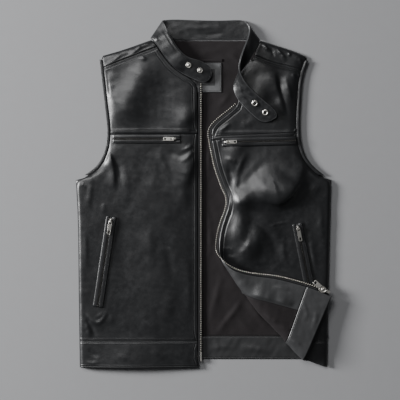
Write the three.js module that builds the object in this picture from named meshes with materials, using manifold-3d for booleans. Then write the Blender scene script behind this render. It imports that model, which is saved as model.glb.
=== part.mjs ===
// A stand-collar leather vest that lies on its back, open, with its left front turned back at the hem corner.
// Millimetres. +X is the wearer's left, +Y goes up the body and +Z away from the surface that it lies on.

import * as THREE from 'three';
import { mergeVertices } from 'three/addons/utils/BufferGeometryUtils.js';
import Module from 'manifold-3d';

const wasm = await Module();
wasm.setup();

// Thicknesses and gaps
const GAP = 0.3;
const LEATHER = 1.4;
const LINING = 1.0;
const TAPE = 1.0;
const COLLAR_WALL = 3.0;
const BINDING_WALL = 2.6;
const CHAIN_WALL = 2.4;
const CHAIN_WIDTH = 4.0;

// Levels above the surface that the vest lies on
const LAY = 8.5;
const SEAM_LEVEL = LEATHER + 0.5;
const ARMHOLE_LEVEL = 5.6;
const SIDE_ROLL = 8;
const ARMHOLE_ROLL = 15;
const EDGE_SLOPE = 22;

// Heights on the body
const HEM_Y = -348;
const HEM_SEAM_Y = -295;
const RIGHT_CHEST_Y = 119;
const LEFT_CHEST_Y = 115;
const UNDERARM_Y = 27;
const BACK_HEM_Y = -331;
const BACK_FACING_Y = -286;
const BACK_NECK_Y = 307.6;
const ZIP_TOP_Y = 219;

// The main zip: the chain's line, the tape beside it and the leather edge
const ZIP_X = -4.5;
const TAPE_START = CHAIN_WIDTH / 2 + 0.9;
const LEATHER_EDGE = 6.3;
const TAPE_END = LEATHER_EDGE - 1.3;
const FACING_WIDTH = 50;
const BINDING_WIDTH = 6.5;
const NECK_SEAM_GAP = 1.6;
const ARMHOLE_GAP = 1.0;

// Outlines of the two sides, from the hem past the underarm to the shoulder tip
const RIGHT_SIDE = [
  { y: HEM_Y, x: -247 },
  { y: -213, x: -249 },
  { y: -53, x: -251 },
  { y: UNDERARM_Y, x: -255 },
];
const RIGHT_ARMHOLE = [
  { y: UNDERARM_Y, x: -255 },
  { y: 53, x: -216 },
  { y: 87, x: -197 },
  { y: 127, x: -193 },
  { y: 187, x: -199 },
  { y: 273, x: -209 },
];
const LEFT_SIDE = [
  { y: HEM_Y, x: 247 },
  { y: -213, x: 249 },
  { y: -53, x: 253 },
  { y: UNDERARM_Y, x: 255 },
];
const LEFT_ARMHOLE = [
  { y: UNDERARM_Y, x: 255 },
  { y: 57, x: 217 },
  { y: 87, x: 199 },
  { y: 127, x: 193 },
  { y: 191, x: 195 },
  { y: 237, x: 200 },
  { y: 271, x: 212 },
];

// Shoulder lines, where the yokes turn to the back, and yoke seams
const RIGHT_SHOULDER = [{ x: -209, y: 273 }, { x: -158, y: 288 }, { x: -107, y: 306 }];
const LEFT_SHOULDER = [{ x: 112, y: 306 }, { x: 175, y: 286 }, { x: 212, y: 271 }];
const RIGHT_YOKE_SEAM = [{ x: -205, y: 247 }, { x: -150, y: 269 }, { x: -89, y: 292 }];
const LEFT_YOKE_SEAM = [{ x: 92, y: 278 }, { x: 131, y: 261 }, { x: 171, y: 251 }, { x: 200, y: 242 }];

// The collar as cross-sections: its neck seam and its top edge. The strip starts at the tab on the right
// front, turns over at the right neck corner, crosses the back with its inner side up, and twists over on the
// left front, so that its other tab lies with its inner side up.
const COLLAR = [
  { seamX: 15.8, seamY: 236, seamZ: 12, topX: 16.4, topY: 242, topZ: 13 },
  { seamX: 12.6, seamY: 229, seamZ: 12, topX: 14.2, topY: 250, topZ: 13 },
  { seamX: 6, seamY: 223.4, seamZ: 12, topX: 8, topY: 257, topZ: 14 },
  { seamX: -5, seamY: 223, seamZ: 11.5, topX: -4, topY: 263.4, topZ: 15 },
  { seamX: -19, seamY: 228.4, seamZ: 11, topX: -15, topY: 267, topZ: 17 },
  { seamX: -33, seamY: 235, seamZ: 11, topX: -27, topY: 270, topZ: 18 },
  { seamX: -47, seamY: 243, seamZ: 11, topX: -39, topY: 277, topZ: 19 },
  { seamX: -59, seamY: 252, seamZ: 11, topX: -49, topY: 288, topZ: 19 },
  { seamX: -73, seamY: 267, seamZ: 11, topX: -60, topY: 304, topZ: 18 },
  { seamX: -87, seamY: 288, seamZ: 10.5, topX: -70, topY: 321, topZ: 15 },
  { seamX: -99, seamY: 304, seamZ: 8.8, topX: -76.4, topY: 337, topZ: 10 },
  { seamX: -105.8, seamY: 310, seamZ: 5, topX: -81.4, topY: 345.8, topZ: 5.4 },
  { seamX: -99, seamY: 308.6, seamZ: 1.9, topX: -73, topY: 348.4, topZ: 1.9 },
  { seamX: -83, seamY: 308.2, seamZ: 1.9, topX: -59, topY: 349, topZ: 1.9 },
  { seamX: -53, seamY: 308.2, seamZ: 1.9, topX: -35, topY: 348.4, topZ: 1.9 },
  { seamX: 3, seamY: 308.2, seamZ: 1.9, topX: 3, topY: 347, topZ: 1.9 },
  { seamX: 49, seamY: 308.2, seamZ: 1.9, topX: 45, topY: 347, topZ: 1.9 },
  { seamX: 87, seamY: 308.6, seamZ: 2.2, topX: 73, topY: 348, topZ: 2.2 },
  { seamX: 112, seamY: 308.6, seamZ: 5, topX: 84, topY: 345, topZ: 5 },
  { seamX: 110, seamY: 299, seamZ: 9, topX: 90, topY: 337, topZ: 9.5 },
  { seamX: 104, seamY: 287, seamZ: 10.5, topX: 91.8, topY: 326, topZ: 13 },
  { seamX: 96, seamY: 273, seamZ: 11, topX: 88.6, topY: 310, topZ: 19 },
  { seamX: 85, seamY: 258, seamZ: 11, topX: 80.6, topY: 289, topZ: 30 },
  { seamX: 74, seamY: 244, seamZ: 11, topX: 73.4, topY: 268, topZ: 38 },
  { seamX: 65.6, seamY: 230, seamZ: 11, topX: 70.4, topY: 252, topZ: 40 },
  { seamX: 60.6, seamY: 217, seamZ: 11.5, topX: 73.4, topY: 237, topZ: 38 },
  { seamX: 61.6, seamY: 202, seamZ: 12.5, topX: 83.6, topY: 219.4, topZ: 33 },
  { seamX: 70, seamY: 186, seamZ: 14, topX: 99, topY: 203, topZ: 27 },
  { seamX: 85, seamY: 169, seamZ: 15, topX: 116, topY: 188, topZ: 23 },
  { seamX: 101, seamY: 154, seamZ: 15, topX: 132, topY: 175, topZ: 20 },
  { seamX: 114, seamY: 144.4, seamZ: 15, topX: 142.6, topY: 164.4, topZ: 18.5 },
  { seamX: 125, seamY: 143, seamZ: 15, topX: 146, topY: 158, topZ: 17.5 },
  { seamX: 134, seamY: 145.4, seamZ: 15, topX: 145, topY: 151.4, topZ: 16.5 },
];
const RIGHT_NECK_ROWS = { first: 3.5, last: 11 };
const LEFT_NECK_ROWS = { first: 27, last: 18 };

// Rows of the left front below its chest seam, named by their height at the side: where each row turns back
// and its rise there above what lies below, the rise of the turned part, and where the row ends at the zip.
// turned is 1 on rows that are folded and 0 on rows that lie flat.
const LEFT_ROWS = [
  { y: -348, foldX: 199, foldY: -331, rise: 9, top: 17, edgeX: 257, edgeY: -200, edge: 9, turned: 1 },
  { y: -313, foldX: 177, foldY: -311, rise: 9, top: 17, edgeX: 225, edgeY: -186, edge: 9, turned: 1 },
  { y: -270, foldX: 145, foldY: -273, rise: 9, top: 17, edgeX: 183, edgeY: -173, edge: 9, turned: 1 },
  { y: -232, foldX: 107, foldY: -235, rise: 9, top: 17, edgeX: 145, edgeY: -164, edge: 10, turned: 1 },
  { y: -189, foldX: 71, foldY: -189, rise: 9, top: 17, edgeX: 101, edgeY: -159, edge: 12, turned: 1 },
  { y: -155, foldX: 50, foldY: -157, rise: 9, top: 17, edgeX: 67, edgeY: -151, edge: 16, turned: 1 },
  { y: -131, foldX: 37, foldY: -136, rise: 8, top: 15, edgeX: 47, edgeY: -139, edge: 17, turned: 1 },
  { y: -110, foldX: 34, foldY: -120, rise: 5, top: 8, edgeX: 31, edgeY: -123, edge: 12, turned: 0.8 },
  { y: -91, foldX: 38, foldY: -102, rise: 2, top: 3, edgeX: 25, edgeY: -105, edge: 4, turned: 0.4 },
  { y: -53, foldX: 48, foldY: -66, rise: 0, top: -1, edgeX: 31, edgeY: -67, edge: -2.4, turned: 0 },
  { y: -1, foldX: 62, foldY: -15, rise: 0, top: -1, edgeX: 47, edgeY: -16, edge: -2.4, turned: 0 },
  { y: 33, foldX: 51, foldY: 17, rise: 0, top: -1, edgeX: 35, edgeY: 16, edge: -2.4, turned: 0 },
  { y: 75, foldX: 37, foldY: 58, rise: 0, top: -1, edgeX: 21, edgeY: 57, edge: -2.4, turned: 0 },
  { y: 115, foldX: 27, foldY: 108, rise: 0, top: -1, edgeX: 11, edgeY: 107, edge: -2.4, turned: 0 },
];
const FOLD_ROLL = 9;

// The zip line of the left front above its chest seam
const LEFT_ZIP_UPPER = [
  { x: 11, y: 107 },
  { x: 9, y: 121 },
  { x: 14, y: 135 },
  { x: 25, y: 147 },
  { x: 45, y: 163 },
  { x: 64, y: 179 },
];

// The largest swells and folds. A swell is a rounded hill with its length, its width and its direction in
// degrees from +X; steep is the width on its right-hand side, where that side falls faster.
const RIGHT_SWELLS = [
  { x: -165, y: 180, rise: 3.5, length: 60, width: 24, turn: -62 },
  { x: -43, y: 150, rise: 3, length: 42, width: 20, turn: 70 },
  { x: -40, y: 48, rise: 4, length: 60, width: 22, turn: 80 },
  { x: -100, y: -30, rise: 3, length: 110, width: 32, turn: -66 },
  { x: -91, y: -200, rise: 3, length: 90, width: 30, turn: 80 },
  { x: -150, y: -352, rise: 8, length: 80, width: 48, turn: 0 },
  { x: -211, y: -243, rise: 3, length: 16, width: 10, turn: 10 },
];
const LEFT_SWELLS = [
  { x: 128, y: -6, rise: 14, length: 62, width: 52, steep: 17, turn: 4 },
  { x: 72, y: -16, rise: 9, length: 26, width: 14, steep: 12, turn: 16 },
  { x: 62, y: 76, rise: 6, length: 30, width: 16, turn: 60 },
  { x: 72, y: -66, rise: 9, length: 40, width: 15, turn: 84 },
  { x: 92, y: -112, rise: 8, length: 30, width: 18, turn: 60 },
  { x: 110, y: -70, rise: 5, length: 46, width: 26, turn: 72 },
  { x: 120, y: 210, rise: 3, length: 50, width: 16, turn: 78 },
  { x: 168, y: 200, rise: 3, length: 50, width: 14, turn: 76 },
];
const LINING_SWELLS = [
  { x: 55, y: -190, rise: 1.6, length: 90, width: 14, turn: 62 },
  { x: 110, y: -235, rise: 1.4, length: 60, width: 12, turn: 130 },
  { x: 22, y: -120, rise: 1.2, length: 110, width: 12, turn: 86 },
  { x: 10, y: 60, rise: 1.0, length: 90, width: 10, turn: 84 },
  { x: 20, y: 284, rise: 1.4, length: 50, width: 9, turn: -12 },
];

// Pockets: the line of the zip, the slider's place along it from its start, the reach of the welts to each
// side of it, and how high the pocket's pieces sit over the leather
const POCKETS = [
  { name: 'right_chest', x0: -45, y0: 109, x1: -181, y1: 109, slider: 14, reach: 8.4, seat: 0.9 },
  { name: 'left_chest', x0: 37, y0: 102, x1: 185, y1: 106, slider: 9, reach: 8.4, seat: 1.2 },
  { name: 'right_hand', x0: -184, y0: -46, x1: -211, y1: -227, slider: 9, reach: 10, seat: 0.9 },
  { name: 'left_hand', x0: 187, y0: -60, x1: 219, y1: -222, slider: 9, reach: 10, seat: 0.9 },
];
const SLIT = 3.0;
const POCKET_CHAIN = 3.0;
const POCKET_CHAIN_WALL = 1.6;
const WELT_WALL = 2.0;

// Zip pulls: plate length and width, slider length and width, and the plate's droop and turn at rest in degrees
const MAIN_ZIP = { length: 23, width: 9.4, slider: 16, sliderWidth: 12.4, sliderWall: 6, droop: 2.4, turn: -20 };
const POCKET_ZIP = { width: 7, slider: 9, sliderWidth: 5.4, sliderWall: 3.2, turn: 0 };
const CHEST_PULL = { length: 21, droop: 3.6 };
const HAND_PULL = { length: 27, droop: 2.8 };
const PULL_WALL = 1.3;
const PULL_LIFT = 1.3;

function finish(color, roughness, metalness) {
  return new THREE.MeshStandardMaterial({ color, roughness, metalness });
}
const leather = finish(0x1a1b1d, 0.42, 0);
const innerLeather = finish(0x37383b, 0.6, 0);
const twill = finish(0x2b2225, 0.85, 0);
const zipTape = finish(0x121214, 0.9, 0);
const nickel = finish(0xaaa59b, 0.35, 1);

const clamp = (value) => Math.min(Math.max(value, 0), 1);
const ease = (value) => clamp(value) ** 2 * (3 - 2 * clamp(value));
const mix = (from, to, part) => from + (to - from) * part;
const quarter = (value) => Math.sqrt(1 - (1 - clamp(value)) ** 2);
const steps = (count) => Array.from({ length: count + 1 }, (_, step) => step / count);
const spread = (from, to, count) => steps(count).map((part) => mix(from, to, part));

// A smooth value of one column of a table, read at a place along its key column
function read(table, key, place, column) {
  let row = 0;
  while (row < table.length - 2 && place > table[row + 1][key]) row += 1;
  const start = table[row];
  const end = table[row + 1];
  const before = table[Math.max(row - 1, 0)];
  const after = table[Math.min(row + 2, table.length - 1)];
  const span = end[key] - start[key];
  const part = clamp((place - start[key]) / span);
  const slopeIn = (end[column] - before[column]) / (end[key] - before[key]);
  const slopeOut = (after[column] - start[column]) / (after[key] - start[key]);
  const square = part * part;
  const cube = square * part;
  return start[column] * (2 * cube - 3 * square + 1) + slopeIn * span * (cube - 2 * square + part)
    + end[column] * (3 * square - 2 * cube) + slopeOut * span * (cube - square);
}

// The height that a table of swells adds at a place
function swell(table, x, y) {
  return table.reduce((sum, hill) => {
    const angle = THREE.MathUtils.degToRad(hill.turn);
    const along = (x - hill.x) * Math.cos(angle) + (y - hill.y) * Math.sin(angle);
    const across = (y - hill.y) * Math.cos(angle) - (x - hill.x) * Math.sin(angle);
    const width = across < 0 ? hill.steep ?? hill.width : hill.width;
    return sum + hill.rise * Math.exp(-((along / hill.length) ** 2) - (across / width) ** 2);
  }, 0);
}

const sideTables = { right: [RIGHT_SIDE, RIGHT_ARMHOLE], left: [LEFT_SIDE, LEFT_ARMHOLE] };

// The outline of a side at a height, and the edge of the leather there, which the armhole's binding moves in
function outlineX(side, y) {
  return read(sideTables[side][y > UNDERARM_Y ? 1 : 0], 'y', y, 'x');
}
function leatherX(side, y, gap = ARMHOLE_GAP) {
  if (y <= UNDERARM_Y) return outlineX(side, y);
  const slope = (outlineX(side, y + 1) - outlineX(side, y - 1)) / 2;
  const inward = side === 'right' ? 1 : -1;
  return outlineX(side, y) + inward * (BINDING_WIDTH + gap) * Math.hypot(1, slope);
}

// How high the leather lies at its side or armhole edge, and how fast it rises from there
const armholePart = (y) => ease((y - UNDERARM_Y + 2) / 10);
const edgeLevel = (y) => mix(SEAM_LEVEL, ARMHOLE_LEVEL, armholePart(y));
const rise = (value) => Math.sin(Math.PI / 2 * clamp(value));
function edgeRise(y, distance) {
  return mix(quarter(distance / SIDE_ROLL), rise(distance / ARMHOLE_ROLL), armholePart(y));
}
const shoulderY = (side, x) => read(side === 'right' ? RIGHT_SHOULDER : LEFT_SHOULDER, 'x', x, 'y');

// The middle of a front's leather over a place, from its distance to the side and to the zip edge
function frontLevel(side, x, y, fromSide, fromZip) {
  const swells = side === 'right' ? RIGHT_SWELLS : LEFT_SWELLS;
  const calm = ease(fromZip / EDGE_SLOPE);
  const level = LAY - 2.4 * (1 - calm) + swell(swells, x, y) * calm;
  const rolled = mix(edgeLevel(y), level, edgeRise(y, fromSide));
  if (y < UNDERARM_Y) return rolled;
  return mix(SEAM_LEVEL, rolled, quarter((shoulderY(side, x) - y) / SIDE_ROLL));
}

function normalAt(grid, row, column) {
  const last = { row: grid.length - 1, column: grid[0].length - 1 };
  const right = grid[row][Math.min(column + 1, last.column)];
  const left = grid[row][Math.max(column - 1, 0)];
  const above = grid[Math.min(row + 1, last.row)][column];
  const below = grid[Math.max(row - 1, 0)][column];
  return right.clone().sub(left).cross(above.clone().sub(below)).normalize();
}

// Keeps each point's normal, so that pieces cut from one grid and walls moved out from it fit one another
function faced(grid) {
  const normals = grid.map((line, row) => line.map((_, column) => normalAt(grid, row, column)));
  grid.forEach((line, row) => line.forEach((point, column) => {
    point.normal = normals[row][column];
  }));
  return grid;
}
// Gives the two rows at a seam the same normals
function matched(grid, row) {
  grid[row].forEach((point, column) => {
    const other = grid[row + 1][column];
    point.normal.add(other.normal).normalize();
    other.normal.copy(point.normal);
  });
  return grid;
}
const cut = (grid, rows, from, to) => grid.filter((_, row) => rows(row)).map((line) => line.slice(from, to));

// A closed wall over a grid of points, between two offsets along the grid's normals. An offset may be a
// function of the place across the grid, from 0 to 1.
function wall(grid, low, high) {
  const rows = grid.length;
  const columns = grid[0].length;
  const position = [];
  const index = [];
  for (const offset of [low, high]) {
    grid.forEach((line, row) => line.forEach((point, column) => {
      const depth = typeof offset === 'function' ? offset(column / (columns - 1)) : offset;
      position.push(...point.clone().addScaledVector(point.normal ?? normalAt(grid, row, column), depth));
    }));
  }
  const at = (face, row, column) => (face * rows + row) * columns + column;
  const quad = (a, b, c, d) => index.push(a, b, d, b, c, d);
  for (let row = 0; row < rows - 1; row += 1) {
    for (let column = 0; column < columns - 1; column += 1) {
      quad(at(1, row, column), at(1, row, column + 1), at(1, row + 1, column + 1), at(1, row + 1, column));
      quad(at(0, row, column), at(0, row + 1, column), at(0, row + 1, column + 1), at(0, row, column + 1));
    }
    quad(at(0, row + 1, 0), at(0, row, 0), at(1, row, 0), at(1, row + 1, 0));
    const end = columns - 1;
    quad(at(0, row, end), at(0, row + 1, end), at(1, row + 1, end), at(1, row, end));
  }
  for (let column = 0; column < columns - 1; column += 1) {
    quad(at(0, 0, column), at(0, 0, column + 1), at(1, 0, column + 1), at(1, 0, column));
    const end = rows - 1;
    quad(at(0, end, column + 1), at(0, end, column), at(1, end, column), at(1, end, column + 1));
  }
  const geometry = new THREE.BufferGeometry();
  geometry.setAttribute('position', new THREE.Float32BufferAttribute(position, 3));
  geometry.setIndex(index);
  return geometry;
}

// A wall whose two long edges are rounded
function roundedWall(grid, low, high) {
  const middle = (low + high) / 2;
  const bow = (part) => (high - low) / 2 * Math.max(Math.sqrt(1 - (2 * part - 1) ** 2), 0.45);
  return wall(grid, (part) => middle - bow(part), (part) => middle + bow(part));
}

const group = new THREE.Group();
function add(name, geometry, material) {
  const mesh = new THREE.Mesh(geometry, material);
  mesh.name = name;
  group.add(mesh);
  return mesh;
}

const flat = (point) => new THREE.Vector3(point.x, point.y, 0);
const smooth = (points) => new THREE.CatmullRomCurve3(points.map(flat), false, 'centripetal');
function joinedPath(...curves) {
  const path = new THREE.CurvePath();
  curves.forEach((curve) => path.add(curve));
  return path;
}

// A four-sided patch between boundary curves, with a level for each point
function patch({ bottom, top, left, right, across, up, level }) {
  return up.map((v) => {
    const l = left.getPointAt(v);
    const r = right.getPointAt(v);
    return across.map((u) => {
      const b = bottom.getPointAt(u);
      const t = top.getPointAt(u);
      const low = bottom.getPointAt(0).lerp(bottom.getPointAt(1), u);
      const high = top.getPointAt(0).lerp(top.getPointAt(1), u);
      const point = b.lerp(t, v).add(l.clone().lerp(r, u)).sub(low.lerp(high, v));
      const width = l.distanceTo(r);
      point.z = level(point.x, point.y, u * width, (1 - u) * width);
      return point;
    });
  });
}

// Places across a panel: close together on the side's roll, then even
const ROLL_STOPS = [0, 1, 3, 6, 11, 19];
function acrossFromSide(width, count) {
  const even = spread(ROLL_STOPS.at(-1), width, count).slice(1);
  return [...ROLL_STOPS, ...even].map((distance) => distance / width);
}
const mirrored = (stops) => stops.map((stop) => 1 - stop).reverse();

// The collar
const seamCurve = new THREE.CatmullRomCurve3(
  COLLAR.map((row) => new THREE.Vector3(row.seamX, row.seamY, row.seamZ)), false, 'centripetal');
const topCurve = new THREE.CatmullRomCurve3(
  COLLAR.map((row) => new THREE.Vector3(row.topX, row.topY, row.topZ)), false, 'centripetal');
const COLLAR_BOW = 1.6;
const SMALL_STEP = 0.002;

function collarPoint(row, across) {
  const place = row / (COLLAR.length - 1);
  const seam = seamCurve.getPoint(place);
  const top = topCurve.getPoint(place);
  const before = seamCurve.getPoint(Math.max(place - SMALL_STEP, 0));
  const ahead = seamCurve.getPoint(Math.min(place + SMALL_STEP, 1)).sub(before);
  const side = ahead.cross(top.clone().sub(seam)).normalize();
  const bow = COLLAR_BOW * Math.sin(Math.PI * across) * bowPart(row);
  return seam.lerp(top, across).addScaledVector(side, -bow);
}
// The strip bows outward where it stands, and lies straight across the back and at its ends
function bowPart(row) {
  const stands = row < 10 ? row / 4 : (row - 20) / 3;
  return ease(stands) * ease((COLLAR.length - 1 - row) / 4);
}

function buildCollar() {
  const rows = spread(0, COLLAR.length - 1, (COLLAR.length - 1) * 2);
  const grid = rows.map((row) => steps(4).map((across) => collarPoint(row, across)));
  add('collar', wall(grid, -COLLAR_WALL / 2, COLLAR_WALL / 2), leather);
}

// The neck edge of a front: the collar's seam moved outward in plan
function neckEdge(rows) {
  return spread(rows.first, rows.last, 18).map((row) => {
    const place = row / (COLLAR.length - 1);
    const seam = seamCurve.getPoint(place);
    const direction = Math.sign(rows.last - rows.first);
    const tangent = seamCurve.getTangent(place).multiplyScalar(direction);
    const outward = new THREE.Vector3(-tangent.y, tangent.x, 0).normalize();
    const sign = rows === RIGHT_NECK_ROWS ? 1 : -1;
    return flat(seam).addScaledVector(outward, sign * NECK_SEAM_GAP);
  });
}

// Heights of the rows through the hem bands and along the lower armhole
const HEM_STOPS = spread(HEM_Y, HEM_SEAM_Y - GAP / 2, 3);
const ARMHOLE_STOPS = [33, 37, 43, 51, 62, 77, 96];

// Right front: rows between the side and the zip edge, then a patch up to the yoke seam
const rightLeatherEdge = ZIP_X - LEATHER_EDGE;
function rightLevel(x, y, fromSide) {
  return frontLevel('right', x, y, fromSide, rightLeatherEdge - x + LEATHER_EDGE);
}

function rightRows(heights) {
  const across = acrossFromSide(236, 9);
  const grid = heights.map((y) => {
    const side = leatherX('right', y);
    return across.map((part) => {
      const x = mix(side, rightLeatherEdge, part);
      return new THREE.Vector3(x, y, rightLevel(x, y, x - side));
    });
  });
  return matched(faced(grid), HEM_STOPS.length - 1);
}

function tablePath(table, from, to, shift = 0) {
  return smooth(spread(from, to, 8).map((x) => ({ x, y: read(table, 'x', x, 'y') + shift })));
}
function armholePath(side, from, to) {
  return smooth(spread(from, to, 8).map((y) => ({ x: leatherX(side, y), y })));
}

// The height where the armhole edge meets a table's line
function meetingY(side, table) {
  let y = table[0].y;
  for (let turn = 0; turn < 8; turn += 1) y = read(table, 'x', leatherX(side, y), 'y');
  return y;
}

// The neck edge below and above the yoke seam, each ending half a gap from it, and its end on the shoulder
function neckParts(rows, yokeSeam, shoulder) {
  const neck = neckEdge(rows);
  const seamAt = (point) => read(yokeSeam, 'x', point.x, 'y');
  const split = neck.findIndex((point) => point.y > seamAt(point));
  const meeting = { x: neck[split].x, y: seamAt(neck[split]) };
  const endX = neck.at(-1).x;
  return {
    x: meeting.x,
    endX,
    lower: [...neck.slice(0, split), { x: meeting.x, y: meeting.y - GAP / 2 }],
    upper: [
      { x: meeting.x, y: meeting.y + GAP / 2 },
      ...neck.slice(split + 1, -1),
      { x: endX, y: read(shoulder, 'x', endX, 'y') },
    ],
  };
}

// Parts of the way up a yoke: closer together where it rolls over the shoulder
const YOKE_STOPS = [0, 0.3, 0.6, 0.8, 0.9, 0.97, 1];

function buildRightFront() {
  const rows = rightRows([
    ...HEM_STOPS,
    ...spread(HEM_SEAM_Y + GAP / 2, UNDERARM_Y - 1, 14),
    ...ARMHOLE_STOPS,
    RIGHT_CHEST_Y - GAP / 2,
  ]);
  add('right_front_hem_band', wall(rows.slice(0, HEM_STOPS.length), 0, LEATHER), leather);
  add('right_front_lower', wall(rows.slice(HEM_STOPS.length), 0, LEATHER), leather);

  const neck = neckParts(RIGHT_NECK_ROWS, RIGHT_YOKE_SEAM, RIGHT_SHOULDER);
  const cornerY = meetingY('right', RIGHT_YOKE_SEAM);
  const bottomY = RIGHT_CHEST_Y + GAP / 2;
  const zipFoot = { x: rightLeatherEdge, y: bottomY };
  const upper = patch({
    bottom: new THREE.LineCurve3(flat({ x: leatherX('right', bottomY), y: bottomY }), flat(zipFoot)),
    top: tablePath(RIGHT_YOKE_SEAM, leatherX('right', cornerY), neck.x, -GAP / 2),
    left: armholePath('right', bottomY, cornerY - GAP / 2),
    right: joinedPath(new THREE.LineCurve3(flat(zipFoot), flat(neck.lower[0])), smooth(neck.lower)),
    across: acrossFromSide(190, 9),
    up: steps(11),
    level: rightLevel,
  });
  add('right_front_upper', wall(upper, 0, LEATHER), leather);

  const tipY = meetingY('right', RIGHT_SHOULDER);
  const yoke = patch({
    bottom: tablePath(RIGHT_YOKE_SEAM, leatherX('right', cornerY), neck.x, GAP / 2),
    top: tablePath(RIGHT_SHOULDER, leatherX('right', tipY), neck.endX),
    left: armholePath('right', cornerY + GAP / 2, tipY),
    right: smooth(neck.upper),
    across: steps(12),
    up: YOKE_STOPS,
    level: rightLevel,
  });
  add('shoulder_yoke_right', wall(yoke, 0, LEATHER), leather);
}

// Left front: each row runs from the zip over the turned-back part and back to the side. Its points hold
// their rise above what they lie on, in z, until the level below them is added.
const leftRow = (y, column) => read(LEFT_ROWS, 'y', y, column);
const FINE = 0.98;

function leftRowCurve(y) {
  const side = flat({ x: leatherX('left', y), y });
  const fold = new THREE.Vector3(leftRow(y, 'foldX'), leftRow(y, 'foldY'), leftRow(y, 'rise'));
  const edge = new THREE.Vector3(leftRow(y, 'edgeX'), leftRow(y, 'edgeY'), leftRow(y, 'edge'));
  const reach = clamp(FOLD_ROLL / Math.hypot(edge.x - fold.x, edge.y - fold.y) / FINE) * FINE;
  const top = fold.clone().lerp(edge, reach);
  top.z = leftRow(y, 'top');
  const foot = flat(fold).addScaledVector(side.clone().sub(flat(fold)).normalize(), FOLD_ROLL);
  const between = [0.25, 0.5, 0.75].map((part) => foot.clone().lerp(side, part));
  const curve = new THREE.CatmullRomCurve3(
    [edge, top.clone().lerp(edge, 0.5), top, fold, foot, ...between, side], false, 'centripetal');
  curve.arcLengthDivisions = 400;
  return curve;
}

// A point of the left front at a distance along its row from the zip line, which may be beyond the line
function leftPoint(y, curve, fromZip) {
  const length = curve.getLength();
  const point = curve.getPointAt(clamp(fromZip / length));
  if (fromZip < 0) point.addScaledVector(curve.getTangentAt(0), fromZip);
  const calm = mix(ease(fromZip / EDGE_SLOPE), 1, leftRow(y, 'turned'));
  const level = LAY + swell(LEFT_SWELLS, point.x, point.y) * calm + point.z;
  const fromSide = length - fromZip;
  point.z = mix(edgeLevel(y), level, edgeRise(y, fromSide));
  return point;
}

// Rows of the left front at given heights. Their places run from the zip line: the chain, the tape and the
// zip facing at fixed distances, then the lining's part, the roll of the fold, the lower layer and the side's
// roll.
const CHAIN_STOPS = [-CHAIN_WIDTH / 2, CHAIN_WIDTH / 2];
const TAPE_STOPS = [TAPE_START, TAPE_END];
const FACING_STOPS = spread(LEATHER_EDGE, LEATHER_EDGE + FACING_WIDTH - GAP / 2, 6);
const BEFORE_FOLD = 4;
const FOLD_STOPS = [-14, -7, 0, 6, 12, 20];
const PLACES = { tape: CHAIN_STOPS.length };
PLACES.leather = PLACES.tape + TAPE_STOPS.length;
PLACES.lining = PLACES.leather + FACING_STOPS.length;
PLACES.insideEnd = PLACES.lining + BEFORE_FOLD + FOLD_STOPS.length;

function leftStops(y, length) {
  const row = (column) => leftRow(y, column);
  const reach = Math.hypot(row('edgeX') - row('foldX'), row('edgeY') - row('foldY'));
  const lining = FACING_STOPS.at(-1) + GAP;
  const fold = Math.max(reach + 3, lining + 26);
  const rolled = ROLL_STOPS.map((stop) => length - stop).reverse();
  const folded = FOLD_STOPS.map((stop) => fold + stop);
  return [
    ...CHAIN_STOPS,
    ...TAPE_STOPS,
    ...FACING_STOPS,
    ...spread(lining, folded[0], BEFORE_FOLD).slice(0, -1),
    ...folded,
    ...spread(folded.at(-1), rolled[0], 7).slice(1, -1),
    ...rolled,
  ];
}

function leftRows(heights) {
  const grid = heights.map((y) => {
    const curve = leftRowCurve(y);
    return leftStops(y, curve.getLength()).map((fromZip) => leftPoint(y, curve, fromZip));
  });
  matched(faced(grid), HEM_STOPS.length - 1);
  // The chain and the tape lie in the plane of the leather edge that they are sewn to
  for (const line of grid) {
    const edge = line[PLACES.leather].normal;
    line.slice(0, PLACES.leather).forEach((point) => point.normal.copy(edge));
  }
  return grid;
}

const TURN_ROWS = { foot: -165, head: -85 };
const LEFT_HEIGHTS = [
  ...HEM_STOPS,
  ...spread(HEM_SEAM_Y + GAP / 2, TURN_ROWS.foot, 8),
  ...spread(TURN_ROWS.foot, TURN_ROWS.head, 8).slice(1),
  ...spread(TURN_ROWS.head, UNDERARM_Y - 1, 7).slice(1),
  ...ARMHOLE_STOPS,
  LEFT_CHEST_Y - GAP / 2,
];
const leftGrid = leftRows(LEFT_HEIGHTS);
const leftPart = (low, high, from, to) => cut(
  leftGrid, (row) => LEFT_HEIGHTS[row] > low && LEFT_HEIGHTS[row] < high, from, to);
// A row between two rows of the grid, on the straight lines from one to the other
function leftRowAt(y, from, to) {
  const above = LEFT_HEIGHTS.findIndex((height) => height > y);
  const part = (y - LEFT_HEIGHTS[above - 1]) / (LEFT_HEIGHTS[above] - LEFT_HEIGHTS[above - 1]);
  return leftGrid[above - 1].slice(from, to).map((point, column) => {
    const next = leftGrid[above][from + column];
    const between = point.clone().lerp(next, part);
    between.normal = point.normal.clone().lerp(next.normal, part).normalize();
    return between;
  });
}
// The leather takes one column of the pair at the facing's edge, because it has no seam there
const leftLeather = (low, high) => leftPart(low, high, PLACES.leather)
  .map((line) => line.filter((_, column) => column !== FACING_STOPS.length));

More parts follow.
